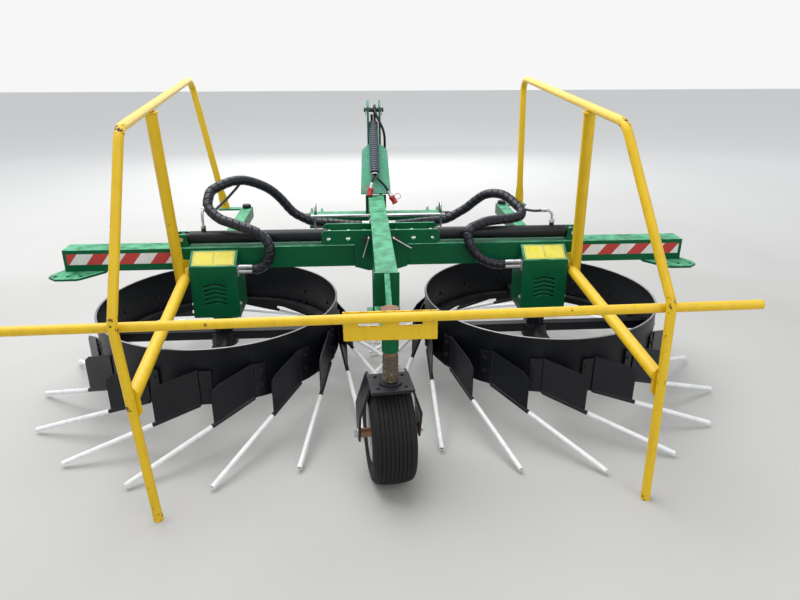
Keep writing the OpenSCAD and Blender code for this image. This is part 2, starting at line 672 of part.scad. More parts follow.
// Post that holds up the rail and brace that holds the rear leg, welded at the arm
module guard_stay(s) {
  p = guard_points[s < 0 ? 0 : 1];
  t = s < 0 ? 0.32 : 0.25;
  cap_t = 5;
  rise = atan2(p[3][2] - p[2][2], p[3][1] - p[2][1]);
  rail = rail_point(s, t);
  low = p[0] + (p[1] - p[0]) * 0.62;
  start = brace_top + 30 * unit(brace_top - low);
  plate_w = 70;
  color(yellow) side(s) difference() {
    union() {
      difference() {
        bar(post_foot, rail, post_r);
        translate(rail) rotate([rise, 0, 0]) translate([-60, -60, -guard_r - seat_gap - cap_t / 2]) cube([120, 120, 100]);
      }
      translate(rail) rotate([rise, 0, 0]) translate([0, 0, -guard_r - seat_gap - cap_t])
        cylinder(h = cap_t, r = post_r + 6, $fn = 48);
      bar(start, low, post_r);
      translate([post_x - plate_w / 2 + 8, beam_rear - seat_gap - 8, beam_low - 26]) cube([plate_w, 20, 72]);
    }
    translate([0, beam_rear - seat_gap, beam_low - 100]) cube([1200, 200, 200]);
    bar(p[0], p[1], guard_r + seat_gap);
    translate([0, p[1][1] - 100, beam_low - 400]) cube([1200, 100, 400]);
  }
}

module cylinder_barrel(s) {
  cap = barrel_pin_x - 35;
  color(black) side(s) translate([0, beam_y, cyl_z]) {
    difference() {
      translate([barrel_start, 0, 0]) rotate([0, 90, 0]) cylinder(h = cap - barrel_start, r = barrel_r, $fn = 64);
      translate([barrel_start - 1, 0, 0]) rotate([0, 90, 0])
        cylinder(h = 52, r = piston_rod_r + shaft_gap, $fn = 48);
      translate([barrel_start + 50, 0, 0]) rotate([0, 90, 0])
        cylinder(h = cap - barrel_start - 75, r = barrel_r - 5, $fn = 64);
    }
    translate([cap - 1, 0, 0]) rotate([0, 90, 0]) cylinder(h = 20, r = 20, $fn = 48);
    difference() {
      translate([barrel_pin_x, 19, 0]) rotate([90, 0, 0]) cylinder(h = 38, r = 20, $fn = 48);
      translate([barrel_pin_x, 20, 0]) rotate([90, 0, 0]) cylinder(h = 40, r = cyl_pin_r + shaft_gap, $fn = 48);
    }
    translate([cap - 62, 0, barrel_r - 3]) cylinder(h = 16, r = 11, $fn = 32);
  }
}

module cylinder_rod(s) {
  piston_x = barrel_start + arm_travel + 60;
  color(steel) side(s) translate([0, beam_y, cyl_z]) {
    translate([rod_pin_x + 18, 0, 0]) rotate([0, 90, 0]) cylinder(h = piston_x - rod_pin_x - 18, r = piston_rod_r, $fn = 48);
    translate([piston_x, 0, 0]) rotate([0, 90, 0]) cylinder(h = 30, r = barrel_r - 5 - shaft_gap, $fn = 64);
    difference() {
      translate([rod_pin_x, 20, 0]) rotate([90, 0, 0]) cylinder(h = 40, r = 22, $fn = 48);
      translate([rod_pin_x, 21, 0]) rotate([90, 0, 0]) cylinder(h = 42, r = cyl_pin_r + shaft_gap, $fn = 48);
    }
  }
}

// Rotors, drawn round their own axis

tine_pitch = 360 / tine_count;
root_r = ring_r + rod_r + seat_gap;
root_z = ring_z + 5;
tine_plan = let (x = tip_r * cos(tip_lag) - root_r, y = tip_r * sin(tip_lag)) [x, y];
tine_heading = atan2(tine_plan[1], tine_plan[0]);
tine_run = norm(tine_plan);
tine_slope = atan2(root_z - tip_z, tine_run);
sleeve_start = flap_l + 10;

// One copy for each tine, x along the tine in plan, origin at its root
module each_tine(s) {
  phase = (s < 0 ? -1 : 1) * tine_pitch / 4 - tip_lag;
  for (k = [0:tine_count - 1]) rotate([0, 0, phase + k * tine_pitch])
    translate([root_r, 0, 0]) rotate([0, 0, tine_heading]) children();
}

module rotor_ring(s) {
  color(black) side(s) translate([rotor_x, 0, 0]) rotate_extrude($fn = 128) {
    translate([ring_r - ring_wall, ring_z]) square([ring_wall, ring_h]);
    translate([ring_r - ring_wall / 2, ring_z + ring_h]) circle(r = ring_wall, $fn = 24);
    translate([ring_r - ring_wall - 34, ring_z + 42]) square([36, 5]);
  }
}

module rotor_spider(s) {
  spoke_z = ring_z + 42 + 5 + seat_gap;
  reach = ring_r - ring_wall - 1;
  color(black) side(s) translate([rotor_x, 0, 0]) {
    for (a = [0, 90]) rotate([0, 0, a])
      translate([-reach, -spoke_size / 2, spoke_z]) cube([2 * reach, spoke_size, spoke_size]);
    translate([0, 0, spoke_z - 24]) cylinder(h = 60, r = 62, $fn = 64);
    translate([0, 0, spoke_z]) cylinder(h = neck_z - move_gap - spoke_z, r = 42, $fn = 64);
    translate([0, 0, spoke_z]) cylinder(h = neck_z + 115 - spoke_z, r = shaft_r, $fn = 64);
  }
}

module tine_flaps(s) {
  drop = flap_l * tan(tine_slope);
  corner = 30;
  fold_r = 4.5;
  outer_top = root_z + flap_h - 56;
  flap = concat([[-6, root_z - 2], [flap_l, root_z - drop], [flap_l, outer_top - corner]],
    [for (a = [15:15:75]) [flap_l - corner + corner * cos(a), outer_top - corner + corner * sin(a)]],
    [[flap_l - corner, outer_top + 8], [-6, root_z + flap_h]]);
  color(black) side(s) translate([rotor_x, 0, 0]) {
    each_tine(s) {
      translate([0, flap_t / 2, 0]) rotate([90, 0, 0]) linear_extrude(flap_t) polygon(flap);
      translate([-2.4, 0, root_z + 1]) cylinder(h = flap_h - 10, r = fold_r, $fn = 24);
      translate([0, 0, root_z]) rotate([0, 90 + tine_slope, 0])
        cylinder(h = sleeve_start / cos(tine_slope), r = rod_r, $fn = 32);
    }
    for (k = [0:tine_count - 1]) rotate([0, 0, (s < 0 ? -1 : 1) * tine_pitch / 4 - tip_lag + k * tine_pitch])
      translate([ring_r + seat_gap, -58, root_z]) cube([6, 60, flap_h - 8]);
  }
}

module tine_sleeves(s) {
  color(white) side(s) translate([rotor_x, 0, 0]) each_tine(s)
    translate([0, 0, root_z]) rotate([0, 90 + tine_slope, 0])
      translate([0, 0, sleeve_start / cos(tine_slope)])
        cylinder(h = (tine_run - sleeve_start) / cos(tine_slope), r = sleeve_r, $fn = 32);
}

// Caster

// Turns what the caster carries about the swivel axis
module turned() {
  translate([0, -swivel_back, 0]) rotate(caster_turn) translate([0, swivel_back, 0]) children();
}

fork_in = tyre_w / 2 + 28;
module caster_fork() {
  plate_t = 12;
  leg_t = 8;
  plate_half = 78;
  color(black) difference() {
    union() {
      translate([-plate_half, -swivel_back - 70, fork_top - plate_t]) cube([2 * plate_half, 140, plate_t]);
      for (s = [-1, 1]) side(s) {
        plate_yz([[axle_y - 28, tyre_r - 22], [axle_y + 28, tyre_r - 22], [axle_y + 62, tyre_r + 96],
          [axle_y - 62, tyre_r + 96]], fork_in, fork_in + leg_t);
        fork_shoulder(plate_half, leg_t, plate_t);
      }
      translate([0, -swivel_back, fork_top - plate_t]) cylinder(h = plate_t + 8, r = 44, $fn = 64);
    }
    translate([-fork_in - 20, axle_y, tyre_r]) rotate([0, 90, 0])
      cylinder(h = 2 * fork_in + 40, r = axle_r + shaft_gap, $fn = 48);
    for (x = [-50, 50], y = [-44, 44]) translate([x, -swivel_back + y, fork_top - plate_t - 1])
      cylinder(h = plate_t + 2, r = 7, $fn = 32);
  }
  color([0.3, 0.22, 0.15]) translate([0, -swivel_back, fork_top - 1])
    cylinder(h = housing_top + 22 - fork_top, r = swivel_r, $fn = 64);
}

// Slanting part of a fork leg between the top plate and the upright lower part
module fork_shoulder(plate_half, leg_t, plate_t) {
  top = fork_top - plate_t;
  low = tyre_r + 96;
  translate([0, axle_y + 62, 0]) rotate([90, 0, 0]) linear_extrude(124)
    polygon([[plate_half - 10, top + 2], [plate_half, top + 2], [fork_in + leg_t, low + 4],
      [fork_in + leg_t, low - 6], [fork_in, low - 6], [fork_in, low + 2]]);
}

module wheel_axle() {
  reach = fork_in + 8 + 14;
  color(steel) translate([-reach, axle_y, tyre_r]) rotate([0, 90, 0]) cylinder(h = 2 * reach, r = axle_r, $fn = 48);
  for (s = [-1, 1]) color([0.72, 0.45, 0.28]) side(s) difference() {
    translate([66, axle_y, tyre_r]) rotate([0, 90, 0]) cylinder(h = fork_in - 66 - seat_gap, r = 18, $fn = 48);
    translate([60, axle_y, tyre_r]) rotate([0, 90, 0]) cylinder(h = fork_in, r = axle_r - 2, $fn = 48);
  }
}

module wheel_rim() {
  bead = tyre_r / 2;
  wide = tyre_w * 0.42;
  hub_in = axle_r + shaft_gap;
  hub_out = hub_in + 14;
  hub_half = 65;
  half = [[hub_in, hub_half], [hub_out, hub_half], [hub_out, 4], [bead - 12, 4], [bead - 12, wide / 3],
    [bead, wide / 2], [bead, wide - 4], [bead + 12, wide + 4], [bead + 12, wide], [bead + 4, wide - 8],
    [bead + 4, wide / 2 - 2], [bead - 8, wide / 3 - 3]];
  other = [for (i = [len(half) - 1:-1:0]) [half[i][0], -half[i][1]]];
  color([0.7, 0.71, 0.72]) translate([0, axle_y, tyre_r]) rotate([0, 90, 0])
    rotate_extrude($fn = 96) polygon(concat(half, other));
}

module wheel_tyre() {
  bead = tyre_r / 2 + 4.5;
  half = tyre_w / 2;
  bead_w = tyre_w * 0.42 - 8.5;
  groove_w = 4;
  groove_d = 7;
  grooves = 7;
  color(black) translate([0, axle_y, tyre_r]) rotate([0, 90, 0]) rotate_extrude($fn = 96) difference() {
    polygon([[bead, -bead_w], [bead + 14, -bead_w - 1], [bead + 34, -half + 4], [bead + 56, -half],
      [tyre_r - 22, -half + 5], [tyre_r - 7, -half + 20], [tyre_r - 1, -half + 44], [tyre_r, -18], [tyre_r, 18],
      [tyre_r - 1, half - 44], [tyre_r - 7, half - 20], [tyre_r - 22, half - 5], [bead + 56, half],
      [bead + 34, half - 4], [bead + 14, bead_w + 1], [bead, bead_w]]);
    for (k = [0:grooves - 1]) translate([tyre_r - groove_d, (k - (grooves - 1) / 2) * 17 - groove_w / 2])
      square([groove_d + 1, groove_w]);
    translate([bead - 1, -bead_w + 12]) square([tyre_r * 0.28, 2 * bead_w - 24]);
  }
}

spine();
centre_bracket();
inner_beam();
headstock();
frame_pins();
parking_leg();
swivel_bracket();
rear_bar();
hose_carrier();
hose_sleeve();
hose_couplings();
supply_hose(-1);  // supply_hose_left
supply_hose(1);  // supply_hose_right
hose_bundle(-1);  // hose_bundle_left
hose_bundle(1);  // hose_bundle_right
cylinder_rod(-1);  // cylinder_rod_left
cylinder_rod(1);  // cylinder_rod_right
arm(-1);  // arm_left
arm(1);  // arm_right
cover(-1);  // cover_left
cover(1);  // cover_right
drive(-1);  // drive_left
drive(1);  // drive_right
arm_fittings(-1);  // arm_fittings_left
arm_fittings(1);  // arm_fittings_right
guard_carrier(-1);  // guard_carrier_left
guard_carrier(1);  // guard_carrier_right
guard_loop(-1);  // guard_loop_left
guard_loop(1);  // guard_loop_right
guard_stay(-1);  // guard_stay_left
guard_stay(1);  // guard_stay_right
cylinder_barrel(-1);  // cylinder_barrel_left
cylinder_barrel(1);  // cylinder_barrel_right
rotor_ring(-1);  // rotor_ring_left
rotor_ring(1);  // rotor_ring_right
rotor_spider(-1);  // rotor_spider_left
rotor_spider(1);  // rotor_spider_right
tine_flaps(-1);  // tine_flaps_left
tine_flaps(1);  // tine_flaps_right
tine_sleeves(-1);  // tine_sleeves_left
tine_sleeves(1);  // tine_sleeves_right
turned() caster_fork();
turned() wheel_axle();
turned() wheel_rim();
turned() wheel_tyre();
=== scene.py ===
import bpy
import bmesh
import json
import math
from mathutils import Matrix, Vector
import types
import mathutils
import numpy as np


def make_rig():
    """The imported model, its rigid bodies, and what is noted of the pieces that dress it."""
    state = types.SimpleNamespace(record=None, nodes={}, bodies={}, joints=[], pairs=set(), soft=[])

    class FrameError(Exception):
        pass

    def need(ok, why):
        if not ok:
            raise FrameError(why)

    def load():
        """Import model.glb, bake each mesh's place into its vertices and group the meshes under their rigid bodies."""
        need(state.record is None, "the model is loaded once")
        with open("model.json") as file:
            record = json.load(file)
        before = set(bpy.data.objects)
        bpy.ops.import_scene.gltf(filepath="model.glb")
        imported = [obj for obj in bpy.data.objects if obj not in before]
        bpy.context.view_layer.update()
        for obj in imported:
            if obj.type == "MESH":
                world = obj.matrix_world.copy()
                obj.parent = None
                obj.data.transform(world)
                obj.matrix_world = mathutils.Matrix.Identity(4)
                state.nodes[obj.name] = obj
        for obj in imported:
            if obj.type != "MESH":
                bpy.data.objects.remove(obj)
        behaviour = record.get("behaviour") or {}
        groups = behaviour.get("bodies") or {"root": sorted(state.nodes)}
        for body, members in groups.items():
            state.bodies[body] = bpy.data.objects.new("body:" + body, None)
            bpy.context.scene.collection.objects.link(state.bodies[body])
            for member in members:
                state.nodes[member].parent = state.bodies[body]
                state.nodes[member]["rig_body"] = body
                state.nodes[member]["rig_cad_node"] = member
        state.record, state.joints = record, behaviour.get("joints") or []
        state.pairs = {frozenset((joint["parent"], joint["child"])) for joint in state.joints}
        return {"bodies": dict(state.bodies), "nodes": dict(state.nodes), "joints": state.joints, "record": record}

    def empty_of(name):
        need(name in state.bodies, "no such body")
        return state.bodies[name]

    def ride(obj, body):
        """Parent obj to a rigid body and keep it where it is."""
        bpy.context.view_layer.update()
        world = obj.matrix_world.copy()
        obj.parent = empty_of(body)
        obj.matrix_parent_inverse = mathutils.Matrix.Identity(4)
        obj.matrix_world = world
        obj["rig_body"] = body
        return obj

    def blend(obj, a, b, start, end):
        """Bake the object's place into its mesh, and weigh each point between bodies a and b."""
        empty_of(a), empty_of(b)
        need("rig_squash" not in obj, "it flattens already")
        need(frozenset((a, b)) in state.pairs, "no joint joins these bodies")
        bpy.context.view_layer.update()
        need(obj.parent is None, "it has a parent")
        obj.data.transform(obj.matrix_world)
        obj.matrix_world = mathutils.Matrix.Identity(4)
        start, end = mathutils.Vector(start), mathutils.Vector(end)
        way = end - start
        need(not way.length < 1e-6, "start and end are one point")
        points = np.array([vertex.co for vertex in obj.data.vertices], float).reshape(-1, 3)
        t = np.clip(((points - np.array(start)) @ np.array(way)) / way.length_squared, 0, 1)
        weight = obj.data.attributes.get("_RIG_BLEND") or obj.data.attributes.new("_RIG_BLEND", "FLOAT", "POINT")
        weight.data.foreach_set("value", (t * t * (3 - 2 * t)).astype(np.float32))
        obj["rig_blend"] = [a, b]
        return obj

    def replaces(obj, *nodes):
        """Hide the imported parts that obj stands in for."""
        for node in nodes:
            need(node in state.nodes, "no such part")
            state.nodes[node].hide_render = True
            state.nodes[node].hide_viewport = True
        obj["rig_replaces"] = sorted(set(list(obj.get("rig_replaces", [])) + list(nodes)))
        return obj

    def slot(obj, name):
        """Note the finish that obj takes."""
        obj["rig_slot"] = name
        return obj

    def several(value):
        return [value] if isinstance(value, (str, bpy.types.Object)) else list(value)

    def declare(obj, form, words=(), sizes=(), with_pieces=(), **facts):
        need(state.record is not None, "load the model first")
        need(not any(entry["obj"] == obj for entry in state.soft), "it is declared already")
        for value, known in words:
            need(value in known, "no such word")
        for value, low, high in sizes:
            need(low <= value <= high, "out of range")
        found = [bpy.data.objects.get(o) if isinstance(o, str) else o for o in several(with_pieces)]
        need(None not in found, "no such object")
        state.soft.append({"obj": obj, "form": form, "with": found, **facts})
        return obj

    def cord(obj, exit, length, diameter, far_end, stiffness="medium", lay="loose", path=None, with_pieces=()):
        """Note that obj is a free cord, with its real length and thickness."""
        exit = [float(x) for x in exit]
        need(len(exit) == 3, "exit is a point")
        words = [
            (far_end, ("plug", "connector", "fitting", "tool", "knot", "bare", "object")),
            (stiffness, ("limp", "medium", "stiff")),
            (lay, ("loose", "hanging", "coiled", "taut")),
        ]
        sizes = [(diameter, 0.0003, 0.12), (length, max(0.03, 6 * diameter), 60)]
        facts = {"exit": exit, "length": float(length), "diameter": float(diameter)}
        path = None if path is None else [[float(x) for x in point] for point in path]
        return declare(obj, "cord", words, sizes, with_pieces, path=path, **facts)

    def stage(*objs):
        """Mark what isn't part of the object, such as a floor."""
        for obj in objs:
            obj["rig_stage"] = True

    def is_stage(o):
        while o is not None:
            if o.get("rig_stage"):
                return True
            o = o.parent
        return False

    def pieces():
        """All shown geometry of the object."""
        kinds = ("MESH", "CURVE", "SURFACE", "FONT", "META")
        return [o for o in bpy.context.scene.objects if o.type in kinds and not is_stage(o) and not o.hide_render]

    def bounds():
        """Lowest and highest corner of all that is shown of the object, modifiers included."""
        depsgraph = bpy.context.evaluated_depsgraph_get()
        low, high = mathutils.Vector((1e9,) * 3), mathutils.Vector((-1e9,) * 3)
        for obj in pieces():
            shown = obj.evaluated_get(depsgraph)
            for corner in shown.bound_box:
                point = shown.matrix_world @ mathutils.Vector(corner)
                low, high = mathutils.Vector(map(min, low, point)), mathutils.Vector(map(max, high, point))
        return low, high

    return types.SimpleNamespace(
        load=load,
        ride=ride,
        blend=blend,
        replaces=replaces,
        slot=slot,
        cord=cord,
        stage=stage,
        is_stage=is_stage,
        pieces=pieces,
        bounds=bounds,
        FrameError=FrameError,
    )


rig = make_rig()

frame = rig.load()
cadNodes = frame["nodes"]
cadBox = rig.bounds()
print("frame loaded:", len(cadNodes), "nodes")

bothSides = ((-1, "left"), (1, "right"))
upWay = Vector((0, 0, 1))


def addObject(name, data):
    made = bpy.data.objects.new(name, data)
    bpy.context.scene.collection.objects.link(made)
    return made


# camera, at the photograph's viewing angle
cameraSizes = {"place": (-0.101, -2.894, 1.582), "down": 21.83, "turn": 3.76, "lens": 29.2, "sensor": 36.0}
cameraData = bpy.data.cameras.new("photoCamera")
cameraData.lens = cameraSizes["lens"]
cameraData.sensor_width = cameraSizes["sensor"]
photoCamera = addObject("photoCamera", cameraData)
photoCamera.location = cameraSizes["place"]
photoCamera.rotation_euler = (math.radians(90 - cameraSizes["down"]), 0, math.radians(-cameraSizes["turn"]))
bpy.context.scene.camera = photoCamera


# node trees: what the finishes and the repeated pieces share
def addNode(tree, kind, inputs=None, **settings):
    # each input is given a value, or a link where the value is another node's socket
    node = tree.nodes.new(kind)
    for label, value in settings.items():
        setattr(node, label, value)
    for key, value in (inputs or {}).items():
        if isinstance(value, bpy.types.NodeSocket):
            tree.links.new(value, node.inputs[key])
        else:
            node.inputs[key].default_value = value
    return node


def newGroup(name, treeKind, inputs, outputs):
    tree = bpy.data.node_groups.new(name, treeKind)
    for label, kind, value in inputs:
        socket = tree.interface.new_socket(name=label, in_out="INPUT", socket_type="NodeSocket" + kind)
        if value is not None:
            socket.default_value = value
    for label, kind in outputs:
        tree.interface.new_socket(name=label, in_out="OUTPUT", socket_type="NodeSocket" + kind)
    return tree, tree.nodes.new("NodeGroupInput").outputs, tree.nodes.new("NodeGroupOutput").inputs


def mathNode(tree, operation, first, second):
    return addNode(tree, "ShaderNodeMath", {0: first, 1: second}, operation=operation).outputs[0]


def times(tree, first, second):
    return mathNode(tree, "MULTIPLY", first, second)


def rangeNode(tree, value, low, high):
    return addNode(tree, "ShaderNodeMapRange", {"Value": value, "From Min": low, "From Max": high}).outputs["Result"]


def noiseNode(tree, vector, scale, detail, roughness=0.5):
    inputs = {"Vector": vector, "Scale": scale, "Detail": detail, "Roughness": roughness}
    return addNode(tree, "ShaderNodeTexNoise", inputs).outputs["Fac"]


def mixColours(tree, factor, first, second):
    first, second = (value if isinstance(value, bpy.types.NodeSocket) else (*value, 1.0) for value in (first, second))
    return addNode(tree, "ShaderNodeMix", {0: factor, 6: first, 7: second}, data_type="RGBA").outputs[2]


def shiftedPlace(tree, shift, stretch=(1.0, 1.0, 1.0)):
    place = tree.nodes.new("ShaderNodeTexCoord").outputs["Object"]
    mapping = addNode(tree, "ShaderNodeMapping", {"Vector": place, "Scale": stretch})
    return addNode(tree, "ShaderNodeVectorMath", {0: mapping.outputs[0], 1: shift}, operation="ADD").outputs["Vector"]


# the wear group's inputs and its looks: a noise is scale, detail and roughness,
# and a range or a slope is where a mask starts and where it is full
wearInputs = {"Shift": 0.0, "Chip Scale": 60.0, "Chip Amount": 0.3, "Edge Amount": 0.6, "Dust Amount": 0.4}
wearLooks = {"fineDetail": 6.0, "fineRoughness": 0.65, "broadNoise": (7.0, 2.0), "chipFrom": 0.80, "chipSoft": 0.03,
    "edgeFrom": 0.78, "edgeGain": 0.4, "edgeSoft": 0.04, "dustAndSheenSlope": (0.2, 1.0), "dustAndSheenNoise": (22.0, 5.0, 0.6),
    "dustAndSheenRange": (0.26, 0.62), "streakStretch": (1.0, 1.0, 0.12), "streakNoise": (34.0, 4.0, 0.6),
    "streakRange": (0.45, 0.75), "grainNoise": (420.0, 2.0, 0.5)}


def buildWearGroup():
    # masks for chips of paint, patches on up-facing faces (settled dust, and on the green paints a painted sheen of
    # sky light), rain streaks and a fine grain
    looks = wearLooks
    group, source, result = newGroup("paintWear", "ShaderNodeTree",
        [(label, "Float", value) for label, value in wearInputs.items()],
        [(label, "Float") for label in ("Chips", "Dust And Sheen", "Streaks", "Grain")])
    place = shiftedPlace(group, source["Shift"])
    fine = noiseNode(group, place, source["Chip Scale"], looks["fineDetail"], looks["fineRoughness"])
    broad = noiseNode(group, place, *looks["broadNoise"])
    edge = addNode(group, "ShaderNodeAttribute", attribute_name="edgeWear").outputs["Fac"]

    def chipsAbove(start, lowered, soft):
        threshold = mathNode(group, "SUBTRACT", start, lowered)
        return rangeNode(group, fine, threshold, mathNode(group, "ADD", threshold, soft))

    chips = chipsAbove(looks["chipFrom"], times(group, source["Chip Amount"], broad), looks["chipSoft"])
    share = times(group, source["Edge Amount"], edge)
    edgeChips = chipsAbove(looks["edgeFrom"], times(group, share, looks["edgeGain"]), looks["edgeSoft"])
    normal = group.nodes.new("ShaderNodeNewGeometry").outputs["Normal"]
    # patches on up-facing faces: dust, and on the green paints a painted sheen of sky light
    upward = rangeNode(group, addNode(group, "ShaderNodeSeparateXYZ", {0: normal}).outputs["Z"], *looks["dustAndSheenSlope"])
    patchNoise = noiseNode(group, place, *looks["dustAndSheenNoise"])
    upPatches = times(group, upward, rangeNode(group, patchNoise, *looks["dustAndSheenRange"]))
    tall = shiftedPlace(group, source["Shift"], looks["streakStretch"])
    masks = {"Chips": mathNode(group, "MAXIMUM", chips, edgeChips),
        "Dust And Sheen": times(group, upPatches, source["Dust Amount"]),
        "Streaks": rangeNode(group, noiseNode(group, tall, *looks["streakNoise"]), *looks["streakRange"]),
        "Grain": noiseNode(group, place, *looks["grainNoise"])}
    for label, mask in masks.items():
        group.links.new(mask, result[label])
    return group


wearGroup = buildWearGroup()

# what each kind of finish does with the masks: "dark" and "grime" for the streaks, then roughness and bump
paintLooks = {"dark": 0.62, "dustAndSheenRough": 0.4, "chipRough": 0.3, "coatRough": 0.28, "grain": 0.5,
    "bump": (0.25, 0.0006)}
metalLooks = {"dark": 0.55, "grime": 0.6, "rustAndGlintRough": 0.4, "bump": (0.2, 0.0004)}
plasticLooks = {"dark": 0.7, "grime": 0.5, "dustAndSheenRough": 0.3, "bump": (0.35, 0.0005)}


def newFinish(name, roughness, metallic=0.0, coat=0.0, gloss=0.5):
    material = bpy.data.materials.new(name)
    material.use_nodes = True
    shader = material.node_tree.nodes["Principled BSDF"].inputs
    values = {"Roughness": roughness, "Metallic": metallic, "Coat Weight": coat, "Specular IOR Level": gloss}
    for label, value in values.items():
        shader[label].default_value = value
    return material, material.node_tree, shader


def wearMasks(tree, wear):
    # wear gives the group's inputs in their order; those left off keep the group's own values
    return addNode(tree, "ShaderNodeGroup", dict(zip(wearInputs, wear)), node_tree=wearGroup).outputs


def streaked(tree, masks, colour, dark, grime):
    darker = tuple(channel * dark for channel in colour)
    return mixColours(tree, times(tree, masks["Streaks"], grime), colour, darker)


def finishShader(tree, shader, colour, roughness, rougher, height, bump):
    tree.links.new(colour, shader["Base Color"])
    for mask, share in rougher:
        roughness = mathNode(tree, "ADD", roughness, times(tree, mask, share))
    tree.links.new(roughness, shader["Roughness"])
    strength, distance = bump
    bumped = addNode(tree, "ShaderNodeBump", {"Strength": strength, "Distance": distance, "Height": height})
    tree.links.new(bumped.outputs["Normal"], shader["Normal"])


def paintFinish(name, colour, under, dustAndSheenColour, wear, roughness, grime, coat=0.0, gloss=0.5):
    # enamel over steel: streaks darken it, dust pales it on up-facing faces (on the green paints this pale colour is a
    # painted sheen of sky light), chips show what lies under it
    looks = paintLooks
    material, tree, shader = newFinish(name, roughness, coat=coat, gloss=gloss)
    shader["Coat Roughness"].default_value = looks["coatRough"]
    masks = wearMasks(tree, wear)
    shade = mixColours(tree, masks["Dust And Sheen"], streaked(tree, masks, colour, looks["dark"], grime), dustAndSheenColour)
    shade = mixColours(tree, masks["Chips"], shade, under)
    height = mathNode(tree, "SUBTRACT", times(tree, masks["Grain"], looks["grain"]), masks["Chips"])
    rougher = ((masks["Dust And Sheen"], looks["dustAndSheenRough"]), (masks["Chips"], looks["chipRough"]))
    finishShader(tree, shader, shade, roughness, rougher, height, looks["bump"])
    return material


def metalFinish(name, colour, roughness, wear, metallic=1.0, rustAndGlint=(0.16, 0.07, 0.03), rustAndGlintShare=0.6):
    # bare metal, with spots of rust in place of the chips; on the greasy shaft rings the spots are a lighter copy of
    # the grease colour, painted highlights
    looks = metalLooks
    material, tree, shader = newFinish(name, roughness, metallic)
    masks = wearMasks(tree, wear)
    spots = times(tree, masks["Chips"], rustAndGlintShare)
    shade = mixColours(tree, spots, streaked(tree, masks, colour, looks["dark"], looks["grime"]), rustAndGlint)
    tree.links.new(times(tree, mathNode(tree, "SUBTRACT", 1.0, spots), metallic), shader["Metallic"])
    finishShader(tree, shader, shade, roughness, [(spots, looks["rustAndGlintRough"])], masks["Grain"], looks["bump"])
    return material


def plasticFinish(name, colour, roughness, shift, dust, dustAndSheenColour=(0.35, 0.32, 0.28), gloss=0.5):
    looks = plasticLooks
    material, tree, shader = newFinish(name, roughness, gloss=gloss)
    masks = addNode(tree, "ShaderNodeGroup", {"Shift": shift, "Dust Amount": dust}, node_tree=wearGroup).outputs
    shade = mixColours(tree, masks["Dust And Sheen"], streaked(tree, masks, colour, looks["dark"], looks["grime"]), dustAndSheenColour)
    finishShader(tree, shader, shade, roughness, [(masks["Dust And Sheen"], looks["dustAndSheenRough"])], masks["Grain"], looks["bump"])
    return material


# paints: colour, what shows in the chips, colour of the dust on up-facing faces (on the greens a pale mint that is a
# painted sky sheen), wear
# the green's pale mint on up-facing patches, at a dust amount of 0.92, is a painted sheen of sky light
greenPaint = paintFinish("greenPaint", (0.0, 0.098, 0.034), (0.10, 0.09, 0.07), (0.125, 0.42, 0.25),
    (3.1, 70.0, 0.14, 0.5, 0.92), roughness=0.40, grime=0.3, coat=0.03, gloss=0.16)
yellowPaint = paintFinish("yellowPaint", (0.77, 0.50, 0.014), (0.07, 0.026, 0.012), (0.66, 0.47, 0.14),
    (8.7, 52.0, 0.24, 0.74, 0.3), roughness=0.36, grime=0.35, coat=0.08, gloss=0.32)
blackPaint = paintFinish("blackPaint", (0.006, 0.007, 0.011), (0.17, 0.17, 0.18), (0.10, 0.10, 0.10),
    (1.9, 90.0, 0.1, 0.9, 0.2), roughness=0.38, grime=0.5, gloss=0.3)
rimPaint = paintFinish("rimPaint", (0.42, 0.43, 0.44), (0.14, 0.08, 0.05), (0.35, 0.31, 0.26),
    (5.5, 60.0, 0.15, 0.5, 0.5), roughness=0.45, grime=0.5)
# a lighter copy of the green paint for the headstock's up-facing sloping plate: a painted sheen of sky light, with
# chips of flaked paint; its pale mint on up-facing patches is painted sheen too
litFlakedGreen = paintFinish("litFlakedGreen", (0.07, 0.34, 0.20), (0.24, 0.42, 0.40), (0.15, 0.44, 0.30),
    (13.0, 170.0, 0.45, 0.3, 0.7), roughness=0.4, grime=0.5, gloss=0.25)
ringPaint = paintFinish("ringPaint", (0.006, 0.007, 0.010), (0.12, 0.12, 0.12), (0.11, 0.11, 0.11),
    (14.5, 80.0, 0.08, 0.9, 0.3), roughness=0.42, grime=0.3, gloss=0.25)
# metals: colour, roughness, wear
wornEdge = metalFinish("wornEdge", (0.34, 0.34, 0.35), 0.5, (2.2, 60.0, 0.25), metallic=0.6)
bareSteel = metalFinish("bareSteel", (0.30, 0.30, 0.31), 0.42, (4.4, 50.0, 0.3))
zincSteel = metalFinish("zincSteel", (0.62, 0.62, 0.64), 0.3, (6.1, 80.0, 0.12))
darkPin = metalFinish("darkPin", (0.06, 0.058, 0.06), 0.4, (7.3, 60.0, 0.3), metallic=0.7)
rodChrome = metalFinish("rodChrome", (0.75, 0.75, 0.77), 0.12, (9.9, 90.0, 0.02))
rustySteel = metalFinish("rustySteel", (0.22, 0.12, 0.07), 0.6, (11.0, 70.0, 0.4), metallic=0.4, rustAndGlintShare=0.9)
copperSteel = metalFinish("copperSteel", (0.50, 0.26, 0.15), 0.42, (12.0, 70.0, 0.2), metallic=0.8)
# greasy rings: the pale spots, a lighter copy of the grease colour, are painted highlights
greasyBrown = metalFinish("greasyBrown", (0.10, 0.075, 0.05), 0.45, (15.1, 90.0, 0.45), metallic=0.3,
    rustAndGlint=(0.34, 0.27, 0.18), rustAndGlintShare=0.8)
